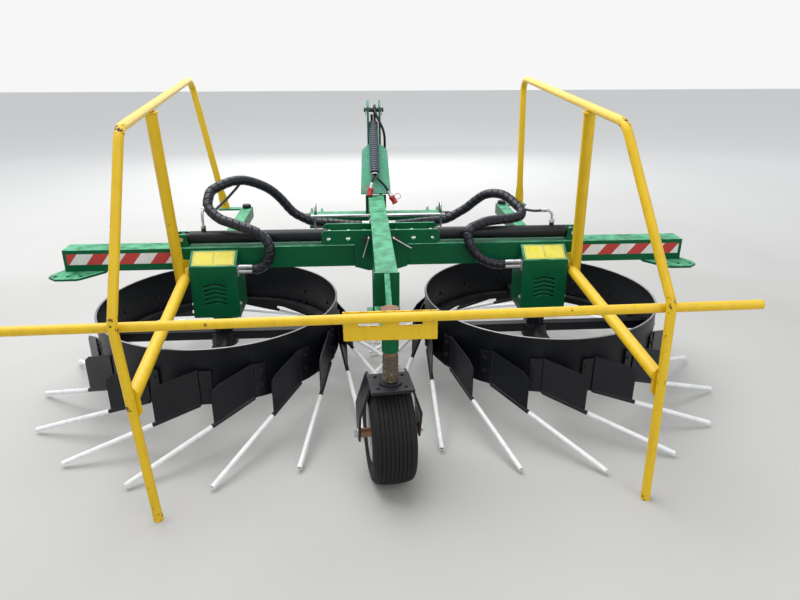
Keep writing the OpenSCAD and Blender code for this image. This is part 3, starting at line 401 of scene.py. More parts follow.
# plastics and rubber: colour, roughness, shift, dust, colour of the dust
# the sleeve's body is a darker copy of the ribs' grey: painted shade in the grooves between the ribs
greySleeve = plasticFinish("greySleeve", (0.045, 0.052, 0.065), 0.6, 1.1, 0.3, (0.16, 0.16, 0.17), gloss=0.2)
ribGrey = plasticFinish("ribGrey", (0.20, 0.235, 0.29), 0.5, 1.4, 0.4, (0.36, 0.37, 0.38), gloss=0.3)
whiteSleeve = plasticFinish("whiteSleeve", (0.88, 0.90, 0.92), 0.42, 2.7, 0.2, (0.55, 0.50, 0.42))
hoseRubber = plasticFinish("hoseRubber", (0.009, 0.010, 0.017), 0.3, 3.9, 0.2, (0.08, 0.08, 0.10), gloss=0.4)
redPlastic = plasticFinish("redPlastic", (0.45, 0.015, 0.02), 0.4, 5.1, 0.2)
whiteTie = plasticFinish("whiteTie", (0.8, 0.8, 0.78), 0.5, 6.6, 0.2)
tyreRubber = plasticFinish("tyreRubber", (0.010, 0.010, 0.012), 0.7, 7.7, 0.25, (0.05, 0.048, 0.045), gloss=0.25)
stripeRed = plasticFinish("stripeRed", (0.50, 0.03, 0.025), 0.34, 4.2, 0.5, (0.5, 0.36, 0.32))
stripeWhite = plasticFinish("stripeWhite", (0.74, 0.74, 0.72), 0.34, 4.9, 0.4, (0.5, 0.46, 0.4))
labelYellow = plasticFinish("labelYellow", (0.72, 0.64, 0.04), 0.42, 5.3, 0.4, (0.60, 0.55, 0.30), gloss=0.25)
labelDark = plasticFinish("labelDark", (0.03, 0.03, 0.025), 0.45, 5.9, 0.7, (0.5, 0.45, 0.3))
print("finishes made")


# mesh helpers; a part is a list of points and a list of faces
def smoothMesh(mesh, angle):
    mesh.polygons.foreach_set("use_smooth", [True] * len(mesh.polygons))
    mesh.set_sharp_from_angle(angle=math.radians(angle))


def makePiece(name, points, faces, finishes, smoothAngle=30.0):
    mesh = bpy.data.meshes.new(name)
    mesh.from_pydata([tuple(point) for point in points], [], faces)
    for finish in finishes:
        mesh.materials.append(finish)
    mesh.update()
    smoothMesh(mesh, smoothAngle)
    return addObject(name, mesh)


def keepPiece(piece, body, slotName, *replaced):
    if replaced:
        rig.replaces(piece, *replaced)
    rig.ride(piece, body)
    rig.slot(piece, slotName)
    return piece


def addPart(name, part, finish, body, slotName, smoothAngle=30.0):
    return keepPiece(makePiece(name, *part, [finish], smoothAngle), body, slotName)


slotNames = {part["node"]: part["material_slot"] for part in frame["record"]["subparts"]}
dressSizes = {"merge": 0.00002, "flatAngle": 0.6, "sharpAngle": 32.0, "segments": 2, "profile": 0.6,
    "smoothAngle": 21.0}


def dressNode(nodeName, finishes, bevel, pick=None, shortest=0.0):
    # a copy of a CAD node with its edges broken, so that they catch the light as folded and welded steel does;
    # where shortest is given, edges below it stay sharp, and the others get their full width
    sizes = dressSizes
    work = bmesh.new()
    work.from_mesh(cadNodes[nodeName].data)
    bmesh.ops.remove_doubles(work, verts=work.verts, dist=sizes["merge"])
    bmesh.ops.dissolve_limit(work, angle_limit=math.radians(sizes["flatAngle"]), verts=work.verts, edges=work.edges)
    wear = work.faces.layers.float.new("edgeWear")
    sharp = math.radians(sizes["sharpAngle"])
    edges = [edge for edge in work.edges
        if edge.is_manifold and edge.calc_face_angle(0.0) > sharp and edge.calc_length() > shortest]
    if bevel and edges:
        made = bmesh.ops.bevel(work, geom=edges, offset=bevel, offset_type="OFFSET", segments=sizes["segments"],
            profile=sizes["profile"], affect="EDGES", clamp_overlap=not shortest)
        for face in made["faces"]:
            face[wear] = 1.0
    if pick:
        for face in work.faces:
            face.material_index = pick(face)
    mesh = bpy.data.meshes.new(nodeName + "Dressed")
    work.to_mesh(mesh)
    work.free()
    for finish in finishes:
        mesh.materials.append(finish)
    smoothMesh(mesh, sizes["smoothAngle"])
    piece = addObject(nodeName + "Dressed", mesh)
    keepPiece(piece, cadNodes[nodeName]["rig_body"], slotNames[nodeName], nodeName)


def smoothRoute(points, step):
    # a curve through the points, cut into even steps
    route = [Vector(point) for point in points]
    dense = []
    for index in range(len(route) - 1):
        before = route[max(index - 1, 0)]
        start, end = route[index], route[index + 1]
        after = route[min(index + 2, len(route) - 1)]
        for share in (k / 12 for k in range(12)):
            square, cube = share * share, share * share * share
            dense.append(0.5 * (2 * start + (end - before) * share
                + (2 * before - 5 * start + 4 * end - after) * square
                + (3 * start - before - 3 * end + after) * cube))
    dense.append(route[-1])
    length = sum((second - first).length for first, second in zip(dense, dense[1:]))
    count = max(int(length / step), 2)
    even, walked, target = [dense[0]], 0.0, length / count
    for first, second in zip(dense, dense[1:]):
        span = (second - first).length
        while walked + span >= target - 1e-9 and len(even) < count:
            even.append(first.lerp(second, (target - walked) / span if span else 0))
            target += length / count
        walked += span
    even.append(dense[-1])
    return even, length


def spokes(across, other, sides):
    angles = [2 * math.pi * side / sides for side in range(sides)]
    return [math.cos(angle) * across + math.sin(angle) * other for angle in angles]


def ringFaces(rings, sides, closed=False):
    # faces between rings of points, and a cap on each open end
    faces = []
    for ring in range(rings if closed else rings - 1):
        here, there = ring * sides, (ring + 1) % rings * sides
        for side in range(sides):
            follow = (side + 1) % sides
            faces.append((here + side, here + follow, there + follow, there + side))
    if not closed:
        faces += [tuple(reversed(range(sides))), tuple(range((rings - 1) * sides, rings * sides))]
    return faces


def sweepTube(route, radiusAt, sides, seed=upWay):
    # a round tube along a route; radiusAt takes the way along it and the turn round it
    points = []
    across, walked = seed, 0.0
    for index, centre in enumerate(route):
        ahead = (route[min(index + 1, len(route) - 1)] - route[max(index - 1, 0)]).normalized()
        across = (across - ahead * ahead.dot(across)).normalized()
        if index:
            walked += (centre - route[index - 1]).length
        for side, spoke in enumerate(spokes(across, ahead.cross(across), sides)):
            points.append(centre + radiusAt(walked, side / sides) * spoke)
    return points, ringFaces(len(route), sides)


def lathe(profile, centre, axis, sides=48, closed=False):
    # turns a profile, pairs of radius and way along the axis, round that axis
    axis, centre = Vector(axis).normalized(), Vector(centre)
    across = axis.orthogonal().normalized()
    points = [centre + axis * along + radius * spoke for radius, along in profile
        for spoke in spokes(across, axis.cross(across), sides)]
    return points, ringFaces(len(profile), sides, closed)


def joinParts(parts):
    points, faces = [], []
    for partPoints, partFaces in parts:
        base = len(points)
        points += list(partPoints)
        faces += [tuple(index + base for index in face) for face in partFaces]
    return points, faces


def evenTube(route, radius, sides, seed=upWay):
    # the same tube with one radius all along
    return sweepTube(route, lambda along, turn: radius, sides, seed)


def mirrored(route, side):
    # routes are written with x outwards
    return [(side * x, y, z) for x, y, z in route]


# cords: two hose bundles in spiral wrap and two supply hoses
hoseBundle = {"radius": 0.0228, "wrapPitch": 0.032, "groove": 0.16, "grooveWide": 0.055, "collar": 0.012,
    "collarShare": 0.14, "step": 0.0024, "sides": 26}
bundleStart = [(0.084, 0.268, 0.722), (0.108, 0.268, 0.722), (0.16, 0.297, 0.717), (0.225, 0.335, 0.715),
    (0.318, 0.345, 0.72)]
bundleRoutes = {
    -1: bundleStart + [(0.38, 0.345, 0.745), (0.432, 0.34, 0.78), (0.485, 0.325, 0.85), (0.53, 0.3, 0.9),
        (0.58, 0.27, 0.935), (0.635, 0.235, 0.96), (0.685, 0.2, 0.965), (0.73, 0.165, 0.955),
        (0.775, 0.13, 0.935), (0.785, 0.095, 0.91), (0.785, 0.065, 0.88), (0.765, 0.04, 0.855),
        (0.725, 0.015, 0.83), (0.68, -0.01, 0.82), (0.625, -0.03, 0.805), (0.585, -0.045, 0.795),
        (0.55, -0.055, 0.78), (0.52, -0.06, 0.755), (0.505, -0.065, 0.73), (0.5, -0.07, 0.7),
        (0.508, -0.068, 0.67), (0.522, -0.064, 0.643), (0.542, -0.061, 0.624), (0.564, -0.06, 0.615),
        (0.588, -0.06, 0.615)],
    1: bundleStart + [(0.365, 0.345, 0.732), (0.405, 0.345, 0.755), (0.45, 0.335, 0.785), (0.49, 0.315, 0.825),
        (0.53, 0.29, 0.86), (0.57, 0.26, 0.875), (0.61, 0.225, 0.875), (0.64, 0.19, 0.86), (0.665, 0.15, 0.84),
        (0.68, 0.12, 0.825), (0.67, 0.085, 0.805), (0.615, 0.055, 0.8), (0.555, 0.035, 0.8), (0.495, 0.01, 0.8),
        (0.45, -0.01, 0.79), (0.415, -0.03, 0.78), (0.4, -0.04, 0.76), (0.4, -0.05, 0.735),
        (0.41, -0.06, 0.705), (0.425, -0.06, 0.68), (0.455, -0.064, 0.65), (0.49, -0.064, 0.628),
        (0.54, -0.06, 0.613), (0.575, -0.06, 0.613)]}


def wrapRadius(length):
    # the wrap's groove winds round the bundle, which narrows to a collar at each end
    sizes = hoseBundle

    def radiusAt(along, turn):
        phase = (along / sizes["wrapPitch"] - turn) % 1.0
        groove = math.exp(-(min(phase, 1 - phase) / sizes["grooveWide"]) ** 4)
        collar = min(1.0, along / sizes["collar"], (length - along) / sizes["collar"])
        narrowed = sizes["radius"] * (1 - sizes["collarShare"] + sizes["collarShare"] * collar)
        return narrowed * (1 - sizes["groove"] * groove * collar)
    return radiusAt


for side, name in bothSides:
    route, length = smoothRoute(mirrored(bundleRoutes[side], side), hoseBundle["step"])
    points, faces = sweepTube(route, wrapRadius(length), hoseBundle["sides"])
    bundle = makePiece("hoseBundle" + name.title(), points, faces, [hoseRubber], 40)
    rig.cord(bundle, exit=route[0], length=length, diameter=0.0456, far_end="object", stiffness="stiff", lay="loose",
        path=route)
    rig.replaces(bundle, "hose_bundle_" + name)
    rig.slot(bundle, "hose_rubber")
    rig.blend(bundle, "root", name + "_arm", start=(side * 0.33, 0.345, 0.74), end=(side * 0.52, 0.10, 0.74))

supplyHose = {"radius": 0.007, "step": 0.006, "sides": 14}
mastSizes = {"plateRise": 250, "plateRun": 170, "footY": 0.709, "footZ": 0.774, "sleeveOut": 0.0323,
    "pinY": 0.938, "pinZ": 1.214, "sleeveSteps": (0.452, 0.420, 0.340, 0.260, 0.180, 0.112)}
mastSlope = math.atan2(mastSizes["plateRise"], mastSizes["plateRun"])
sleeveWay = Vector((0, math.cos(mastSlope), math.sin(mastSlope)))


def sleevePoint(x, along):
    # a point on the axis of the grey sleeve, which lies on the sloping plate of the mast
    out = mastSizes["sleeveOut"]
    return (x, mastSizes["footY"] + along * math.cos(mastSlope) - out * math.sin(mastSlope),
        mastSizes["footZ"] + along * math.sin(mastSlope) + out * math.cos(mastSlope))


def pinPoint(x, radius, angle):
    # a point beside the top link pin
    turn = math.radians(angle)
    return (x, mastSizes["pinY"] + radius * math.cos(turn), mastSizes["pinZ"] + radius * math.sin(turn))


def inSleeve(x):
    return [sleevePoint(x, along) for along in mastSizes["sleeveSteps"]]


supplyRoutes = {
    -1: [(-0.01, 0.985, 0.8003), (-0.01, 0.985, 0.86), (-0.01, 0.986, 0.94), (-0.01, 0.986, 1.02),
        (-0.01, 0.985, 1.09), (-0.01, 0.98, 1.14), (-0.011, 0.97, 1.172), (-0.011, 0.957, 1.184),
        (-0.011, 0.945, 1.178)] + inSleeve(-0.011) + [(-0.014, 0.72, 0.867), (-0.02, 0.706, 0.844)],
    1: [(0.056, 0.916, 0.8003), (0.056, 0.916, 0.85), (0.057, 0.913, 0.9), (0.059, 0.908, 0.95), (0.06, 0.901, 1.0),
        (0.06, 0.893, 1.04), (0.058, 0.883, 1.075), (0.052, 0.875, 1.105), (0.042, 0.872, 1.132),
        (0.03, 0.875, 1.156), (0.018, 0.884, 1.178), (0.009, 0.896, 1.202)]
        + [pinPoint(0.005, 0.025, angle) for angle in (165, 130, 95, 60, 25, -5)] + inSleeve(0.005)
        + [(0.012, 0.722, 0.866), (0.03, 0.71, 0.848), (0.052, 0.698, 0.826), (0.068, 0.69, 0.8)]}

# the coupling and the dust cap that closes it
hoseEnds = {"sides": 24,
    "steel": [(0.0085, 0.0003), (0.0108, 0.002), (0.0108, 0.015), (0.0095, 0.017), (0.0095, 0.022), (0.0112, 0.024),
        (0.0112, 0.042), (0.008, 0.044)],
    "cap": [(0.013, 0.034), (0.0172, 0.036), (0.0172, 0.048), (0.0145, 0.051), (0.014, 0.068), (0.0165, 0.07),
        (0.0165, 0.077), (0.012, 0.08), (0.004, 0.0805)]}


def hoseEnd(side):
    # where a supply hose stops, and the way that its coupling faces
    last = Vector(supplyRoutes[side][-1])
    return last, (last - Vector(supplyRoutes[side][-2])).normalized()


for side, name in bothSides:
    route, length = smoothRoute(supplyRoutes[side], supplyHose["step"])
    tube = evenTube(route, supplyHose["radius"], supplyHose["sides"], Vector((1, 0, 0)))
    hose = makePiece("supplyHose" + name.title(), *tube, [hoseRubber], 40)
    steel, cap = (lathe(hoseEnds[key], *hoseEnd(side), hoseEnds["sides"]) for key in ("steel", "cap"))
    coupling = makePiece("coupling" + name.title(), *steel, [zincSteel])
    keepPiece(coupling, "root", "bright_steel", "hose_couplings")
    dustCap = addPart("dustCap" + name.title(), cap, redPlastic, "root", "bright_steel")
    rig.cord(hose, exit=route[0], length=length, diameter=0.014, far_end="connector", stiffness="stiff", lay="hanging",
        path=route, with_pieces=[coupling, dustCap])
    keepPiece(hose, "root", "hose_rubber", "supply_hose_" + name)

# thin hoses by the cylinders' ports, and the pipes that they join
portSizes = {"place": (0.808, 0.031, 0.7865), "radius": 0.0062, "step": 0.004, "sides": 14,
    "hexagon": [(0.0125, 0.0), (0.0125, 0.011), (0.011, 0.0125)],
    "ferrule": [(0.0072, -0.014), (0.0098, -0.012), (0.0098, -0.003), (0.0086, -0.002), (0.0086, 0.012),
        (0.0072, 0.0135)]}
portPipes = {
    -1: [(0.808, 0.031, 0.795), (0.808, 0.031, 0.815), (0.808, 0.031, 0.834), (0.807, 0.034, 0.852),
        (0.804, 0.044, 0.866), (0.799, 0.055, 0.873)],
    1: [(0.808, 0.031, 0.795), (0.808, 0.031, 0.808), (0.806, 0.032, 0.824), (0.797, 0.034, 0.836),
        (0.782, 0.037, 0.841), (0.77, 0.04, 0.841)]}
portHoses = {
    -1: [(0.658, 0.214, 0.95), (0.673, 0.196, 0.932), (0.69, 0.175, 0.915), (0.705, 0.152, 0.9),
        (0.719, 0.128, 0.888), (0.731, 0.104, 0.878), (0.742, 0.08, 0.87), (0.752, 0.057, 0.862)],
    1: [(0.692, 0.102, 0.831), (0.701, 0.089, 0.832), (0.712, 0.077, 0.832), (0.724, 0.067, 0.8325),
        (0.736, 0.058, 0.834), (0.748, 0.051, 0.836), (0.759, 0.045, 0.8385), (0.7705, 0.04, 0.841)]}
for side, name in bothSides:
    x, y, z = portSizes["place"]
    hexagon = lathe(portSizes["hexagon"], (side * x, y, z), upWay, 6)
    pipeRoute = smoothRoute(mirrored(portPipes[side], side), portSizes["step"])[0]
    pipe = evenTube(pipeRoute, portSizes["radius"], portSizes["sides"], Vector((0, 1, 0)))
    ferrule = lathe(portSizes["ferrule"], pipeRoute[-1], pipeRoute[-1] - pipeRoute[-3], 20)
    portPipe = addPart("portPipe" + name.title(), joinParts([hexagon, pipe, ferrule]), zincSteel, name + "_arm",
        "bright_steel")
    route, length = smoothRoute(mirrored(portHoses[side], side), portSizes["step"])
    tube = evenTube(route, portSizes["radius"], portSizes["sides"])
    thinHose = makePiece("portHose" + name.title(), *tube, [hoseRubber], 40)
    if side > 0:
        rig.cord(thinHose, exit=route[0], length=length, diameter=0.0124, far_end="fitting", stiffness="stiff",
            lay="loose", path=route, with_pieces=[portPipe])
    else:
        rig.cord(thinHose, exit=route[0], length=length, diameter=0.0124, far_end="object", stiffness="stiff",
            lay="loose", path=route)
    keepPiece(thinHose, name + "_arm", "hose_rubber")
print("cords laid")

# the caster stands turned about its upright shaft, and its wheel trails
casterSizes = {"axisY": -0.83, "turn": 6.0, "trail": 0.05, "axleHeight": 0.2}
casterTurn = math.radians(casterSizes["turn"])
wheelWay = Vector((math.cos(casterTurn), math.sin(casterTurn), 0))
wheelCentre = Vector((0, casterSizes["axisY"], casterSizes["axleHeight"]))
wheelCentre += casterSizes["trail"] * upWay.cross(wheelWay)

# which faces of a node have its second finish
secondFinish = {"flangeWay": (0, -0.827, 0.562), "flangeFacing": 0.98, "ringEdge": 0.4475, "boltReach": 0.0105,
    "spacerEnd": 0.112, "shaftFrom": 0.4445, "shaftReach": 0.0265}


def onFlange(face):
    return int(face.normal.dot(secondFinish["flangeWay"]) > secondFinish["flangeFacing"])


def onRingEdge(face):
    return int(face.calc_center_median().z > secondFinish["ringEdge"])


def onSpacer(face):
    # the wheel's spacers stand further out from the axle line than the bolt
    away = face.calc_center_median() - wheelCentre
    along = away.dot(wheelWay)
    out = (away - wheelWay * along).length
    return int(out > secondFinish["boltReach"] and abs(along) < secondFinish["spacerEnd"])


def onShaft(face):
    place = face.calc_center_median()
    reach = math.hypot(place.x, place.y - casterSizes["axisY"])
    return int(place.z > secondFinish["shaftFrom"] and reach < secondFinish["shaftReach"])


# CAD nodes with their finishes, and how far each one's edges are broken
greenMiddle = {"spine": 0.0028, "centre_bracket": 0.0015, "parking_leg": 0.002, "swivel_bracket": 0.0015}
greenSides = {"arm_": 0.0025, "cover_": 0.0014, "drive_": 0.002, "guard_carrier_": 0.0014}
for nodeName, bevel in greenMiddle.items():
    dressNode(nodeName, [greenPaint], bevel)
for nodeName, bevel in greenSides.items():
    for side, name in bothSides:
        dressNode(nodeName + name, [greenPaint], bevel)
for nodeName in ("rear_bar", "guard_stay_left", "guard_stay_right"):
    dressNode(nodeName, [yellowPaint], 0.0012)
dressNode("inner_beam", [bareSteel], 0.001)
# the sloping plate's front faces take the lighter copy of the green, a painted sheen
dressNode("headstock", [greenPaint, litFlakedGreen], 0.0009, onFlange, shortest=0.0015)
dressNode("wheel_axle", [bareSteel, copperSteel], 0.001, onSpacer)
dressNode("frame_pins", [darkPin], 0.0015)
dressNode("hose_carrier", [zincSteel], 0.0008)
for side, name in bothSides:
    dressNode("arm_fittings_" + name, [zincSteel], 0.001)
    dressNode("cylinder_rod_" + name, [rodChrome], 0.001)
    dressNode("cylinder_barrel_" + name, [blackPaint], 0.001)
    dressNode("rotor_ring_" + name, [ringPaint, wornEdge], 0.0, onRingEdge)
    dressNode("rotor_spider_" + name, [blackPaint], 0.0015)
    dressNode("tine_flaps_" + name, [blackPaint], 0.0008)
# the sleeve's body takes the darker copy of the ribs' grey, painted shade between the ribs
dressNode("hose_sleeve", [greySleeve], 0.0008)
dressNode("caster_fork", [blackPaint, rustySteel], 0.0012, onShaft)
dressNode("wheel_rim", [rimPaint], 0.001)
print("solids dressed")


# Geometry Nodes trees for what repeats
def newRepeatTree(name, inputs):
    return newGroup(name, "GeometryNodeTree", [("Geometry", "Geometry", None), *inputs, ("Finish", "Material", None)],
        [("Geometry", "Geometry")])


def closeTree(tree, source, result, copies):
    # an instance at each point, made real and painted
    instances = addNode(tree, "GeometryNodeInstanceOnPoints", copies)
    realize = addNode(tree, "GeometryNodeRealizeInstances", {0: instances.outputs[0]})
    paint = addNode(tree, "GeometryNodeSetMaterial", {"Geometry": realize.outputs[0], "Material": source["Finish"]})
    tree.links.new(paint.outputs[0], result["Geometry"])
    return tree


def shiftMesh(tree, mesh, move):
    return addNode(tree, "GeometryNodeTransform", {"Geometry": mesh, "Translation": move}).outputs[0]


def upBy(tree, value):
    return addNode(tree, "ShaderNodeCombineXYZ", {"Z": value}).outputs[0]


def buildRingRepeat():
    # the given mesh, set round an upright axis
    tree, source, result = newRepeatTree("ringRepeat", [("Count", "Int", 16), ("Centre", "Vector", (0.0, 0.0, 0.0))])
    line = addNode(tree, "GeometryNodeMeshLine", {"Offset": (0, 0, 0), "Count": source["Count"],
        "Start Location": source["Centre"]}, mode="OFFSET")
    back = addNode(tree, "ShaderNodeVectorMath", {0: source["Centre"], "Scale": -1}, operation="SCALE")
    index = tree.nodes.new("GeometryNodeInputIndex").outputs[0]
    angle = mathNode(tree, "DIVIDE", times(tree, index, 2 * math.pi), source["Count"])
    turn = addNode(tree, "FunctionNodeEulerToRotation", {0: upBy(tree, angle)})
    return closeTree(tree, source, result, {"Points": line.outputs[0], "Rotation": turn.outputs[0],
        "Instance": shiftMesh(tree, source["Geometry"], back.outputs[0])})


def buildRowRepeat():
    # the given mesh, set in a straight row
    tree, source, result = newRepeatTree("rowRepeat", [("Count", "Int", 10), ("Step", "Vector", (0.0, 0.0, 0.01))])
    line = addNode(tree, "GeometryNodeMeshLine", {"Count": source["Count"], "Offset": source["Step"]}, mode="OFFSET")
    return closeTree(tree, source, result, {"Points": line.outputs[0], "Instance": source["Geometry"]})


def buildBoltHeads():
    # a hexagon head on a washer at each point, turned at random about the way it faces
    tree, source, result = newRepeatTree("boltHeads", [("Head Radius", "Float", 0.0075),
        ("Head Height", "Float", 0.005), ("Washer Radius", "Float", 0.0105), ("Washer Height", "Float", 0.0016),
        ("Seed", "Int", 4)])
    head = addNode(tree, "GeometryNodeMeshCone", {"Vertices": 6, "Radius Bottom": source["Head Radius"],
        "Radius Top": times(tree, source["Head Radius"], 0.92), "Depth": source["Head Height"]})
    washer = addNode(tree, "GeometryNodeMeshCylinder", {"Vertices": 20, "Radius": source["Washer Radius"],
        "Depth": source["Washer Height"]})
    bolt = tree.nodes.new("GeometryNodeJoinGeometry")
    for part, share in ((head, 0.98), (washer, 0.52)):  # the head sinks a little into its washer
        lift = upBy(tree, times(tree, source["Washer Height"], share))
        tree.links.new(shiftMesh(tree, part.outputs["Mesh"], lift), bolt.inputs[0])
    facing = addNode(tree, "GeometryNodeInputNamedAttribute", {"Name": "facing"}, data_type="FLOAT_VECTOR")
    align = addNode(tree, "FunctionNodeAlignRotationToVector", {"Vector": facing.outputs["Attribute"]}, axis="Z")
    chance = addNode(tree, "FunctionNodeRandomValue", {3: math.pi / 3, "Seed": source["Seed"]}, data_type="FLOAT")
    spin = addNode(tree, "FunctionNodeAxisAngleToRotation", {"Axis": (0, 0, 1), "Angle": chance.outputs[1]})
    turned = addNode(tree, "FunctionNodeRotateRotation", {"Rotation": align.outputs[0], "Rotate By": spin.outputs[0]},
        rotation_space="LOCAL")
    return closeTree(tree, source, result, {"Points": source["Geometry"], "Instance": bolt.outputs[0],
        "Rotation": turned.outputs[0]})


ringRepeat, rowRepeat, boltHeads = buildRingRepeat(), buildRowRepeat(), buildBoltHeads()


def runTree(name, tree, values, points, faces=(), facing=()):
    # sets the modifier's inputs, then keeps its result as a plain mesh
    piece = makePiece(name, points, list(faces), [])
    if facing:
        attribute = piece.data.attributes.new("facing", "FLOAT_VECTOR", "POINT")
        for index, way in enumerate(facing):
            attribute.data[index].vector = way
    modifier = piece.modifiers.new(tree.name, "NODES")
    modifier.node_group = tree
    for socket in tree.interface.items_tree:
        if socket.in_out == "INPUT" and socket.name in values:
            modifier[socket.identifier] = values[socket.name]
    graph = bpy.context.evaluated_depsgraph_get()
    mesh = bpy.data.meshes.new_from_object(piece.evaluated_get(graph), depsgraph=graph)
    piece.modifiers.clear()
    piece.data = mesh
    smoothMesh(mesh, 30)
    return piece


# rotors: tine sleeves with the rods' ends inside, and the bolts of the flaps; "lag" is how far a tine's tip is
# behind its root, in degrees
rotorSizes = {"axisX": 0.758, "tines": 16, "rootRadius": 0.5543, "rootHeight": 0.205, "tipRadius": 0.852,
    "tipHeight": 0.02, "lag": 39.0, "sleeveFrom": 0.190, "sleeveRadius": 0.01, "sleeveWall": 0.0022,
    "rodInset": 0.012, "plateRadius": 0.5514, "boltBack": 0.038, "boltHeights": (0.262, 0.322), "nutRadius": 0.5398}
# the washer's radii are shares of the head's
flapBolt = {"washer": ((1.35, 0.0), (1.35, 0.0014), (1.25, 0.0018)), "headFrom": 0.0016, "topShare": 0.86,
    "topHeight": 0.0012, "head": (0.008, 0.0052), "nut": (0.0085, 0.0075)}


def sided(part, side):
    # drawn for the right-hand side; the left is its mirror image
    points, faces = part
    if side > 0:
        return points, faces
    return [Vector((-point[0], point[1], point[2])) for point in points], [tuple(reversed(face)) for face in faces]


def boltPart(place, way, size):
    radius, height = size
    washer = [(radius * share, along) for share, along in flapBolt["washer"]]
    top = (radius * flapBolt["topShare"], height + flapBolt["topHeight"])
    head = [(radius, flapBolt["headFrom"]), (radius, height), top]
    return joinParts([lathe(washer, place, way, 20), lathe(head, place, way, 6)])


def dressRotor(side, name):
    sizes = rotorSizes
    pitch = 2 * math.pi / sizes["tines"]
    lag = math.radians(sizes["lag"])
    first = side * pitch / 4 - lag
    reach = (sizes["tipRadius"] * math.cos(lag) - sizes["rootRadius"], sizes["tipRadius"] * math.sin(lag))
    heading, run = first + math.atan2(reach[1], reach[0]), math.hypot(*reach)
    slope = math.atan2(sizes["rootHeight"] - sizes["tipHeight"], run)
    outward = Vector((math.cos(first), math.sin(first), 0))
    axisPoint = Vector((sizes["axisX"], 0, 0))
    root = axisPoint + Vector((0, 0, sizes["rootHeight"])) + outward * sizes["rootRadius"]
    ahead = Vector((math.cos(heading) * math.cos(slope), math.sin(heading) * math.cos(slope), -math.sin(slope)))
    start, end = sizes["sleeveFrom"] / math.cos(slope), run / math.cos(slope)
    outer, inset = sizes["sleeveRadius"], end - sizes["rodInset"]
    inner = outer - sizes["sleeveWall"]
    # the sleeve is hollow at its lower end, where the rod shows a little way inside it
    sleeve = lathe([(outer - 0.001, start), (outer, start + 0.0012), (outer, end - 0.0012), (outer - 0.0008, end),
        (inner + 0.0004, end), (inner, end - 0.0008), (inner, inset)], root, ahead, 20)
    rod = lathe([(inner - 0.0004, inset + 0.0001), (inner - 0.0004, end - 0.0055), (inner - 0.002, end - 0.004)],
        root, ahead, 16)
    across = Vector((math.sin(first), -math.cos(first), 0))
    bolts = []
    for height in sizes["boltHeights"]:
        place = axisPoint + across * sizes["boltBack"] + upWay * height
        nutPlace = place + outward * (sizes["nutRadius"] - flapBolt["headFrom"])
        bolts += [boltPart(place + outward * sizes["plateRadius"], outward, flapBolt["head"]),
            boltPart(nutPlace, -outward, flapBolt["nut"])]

    def setRound(pieceName, part, finish):
        values = {"Count": sizes["tines"], "Centre": (side * sizes["axisX"], 0.0, 0.0), "Finish": finish}
        return runTree(pieceName + name.title(), ringRepeat, values, *sided(part, side))

    keepPiece(setRound("tineSleeves", sleeve, whiteSleeve), name + "_rotor", "white_sleeve", "tine_sleeves_" + name)
    keepPiece(setRound("tineRods", rod, rustySteel), name + "_rotor", "dark_pin")
    keepPiece(setRound("flapBolts", joinParts(bolts), blackPaint), name + "_rotor", "black_paint")


for side, name in bothSides:
    dressRotor(side, name)
print("rotors dressed")

# guards: bent tube with a gusset where the brace meets it
guardTube = {"radius": 0.01684, "bend": 0.07, "sides": 24, "bendSteps": 8, "spacing": 0.03, "endHeight": 0.7003,
    "braceTop": (0.889, -0.045, 0.589), "braceShare": 0.62, "flatAheadOf": 0.70, "flatFrom": 0.835, "flatTo": 0.735,
    "flatWide": 0.42, "flatThin": 0.58, "gussetSunk": 0.002, "gussetWall": 0.006, "wearMost": 0.85, "wearReach": 0.06,
    "gusset": ((-0.075, 0), (-0.045, -0.026), (0.025, -0.026), (0.055, 0), (0.025, 0.026), (-0.045, 0.026))}
guardCorners = {
    -1: [(0.835, -0.99135, 0.017), (0.905, -0.92135, 0.722), (0.876, -0.660, 1.313), (0.968, 0.780, 1.392),
        (0.848, 0.762, 0.696)],
    1: [(0.938, -0.99135, 0.017), (0.954, -0.92135, 0.748), (0.821, -0.660, 1.319), (0.816, 0.780, 1.391),
        (0.833, 0.762, 0.696)]}


def bentRoute(corners, radius, steps):
    # straight runs joined by round bends
    route = [Vector((corners[0].x, corners[0].y, 0))]
    for before, corner, after in zip(corners, corners[1:], corners[2:]):
        back, ahead = (before - corner).normalized(), (after - corner).normalized()
        half = back.angle(ahead) / 2
        middle = corner + (back + ahead).normalized() * radius / math.sin(half)
        first = corner + back * radius / math.tan(half) - middle
        last = corner + ahead * radius / math.tan(half) - middle
        axis, sweep = first.cross(last).normalized(), first.angle(last)
        for step in range(steps + 1):
            route.append(middle + Matrix.Rotation(sweep * step / steps, 3, axis) @ first)
    route.append(corners[-1])
    fine = []
    for first, second in zip(route, route[1:]):
        count = max(1, round((second - first).length / guardTube["spacing"]))
        fine += [first.lerp(second, step / count) for step in range(count)]
    return fine + [route[-1]]


def cutLevel(points, indices, way, height):
    # brings a tube's end ring to a level cut
    for index in indices:
        points[index] = points[index] - way * ((points[index].z - height) / way.z)


def flattenEnd(points, above, below):
    # squashes the lower end of a tube, so that it widens across and thins lengthways
    for point in points:
        share = min(max((guardTube["flatFrom"] - point.z) / (guardTube["flatFrom"] - guardTube["flatTo"]), 0.0), 1.0)
        share = share * share * (3 - 2 * share)
        middle = below.lerp(above, (point.z - below.z) / (above.z - below.z))
        point.x += (point.x - middle.x) * guardTube["flatWide"] * share
        point.y -= (point.y - middle.y) * guardTube["flatThin"] * share


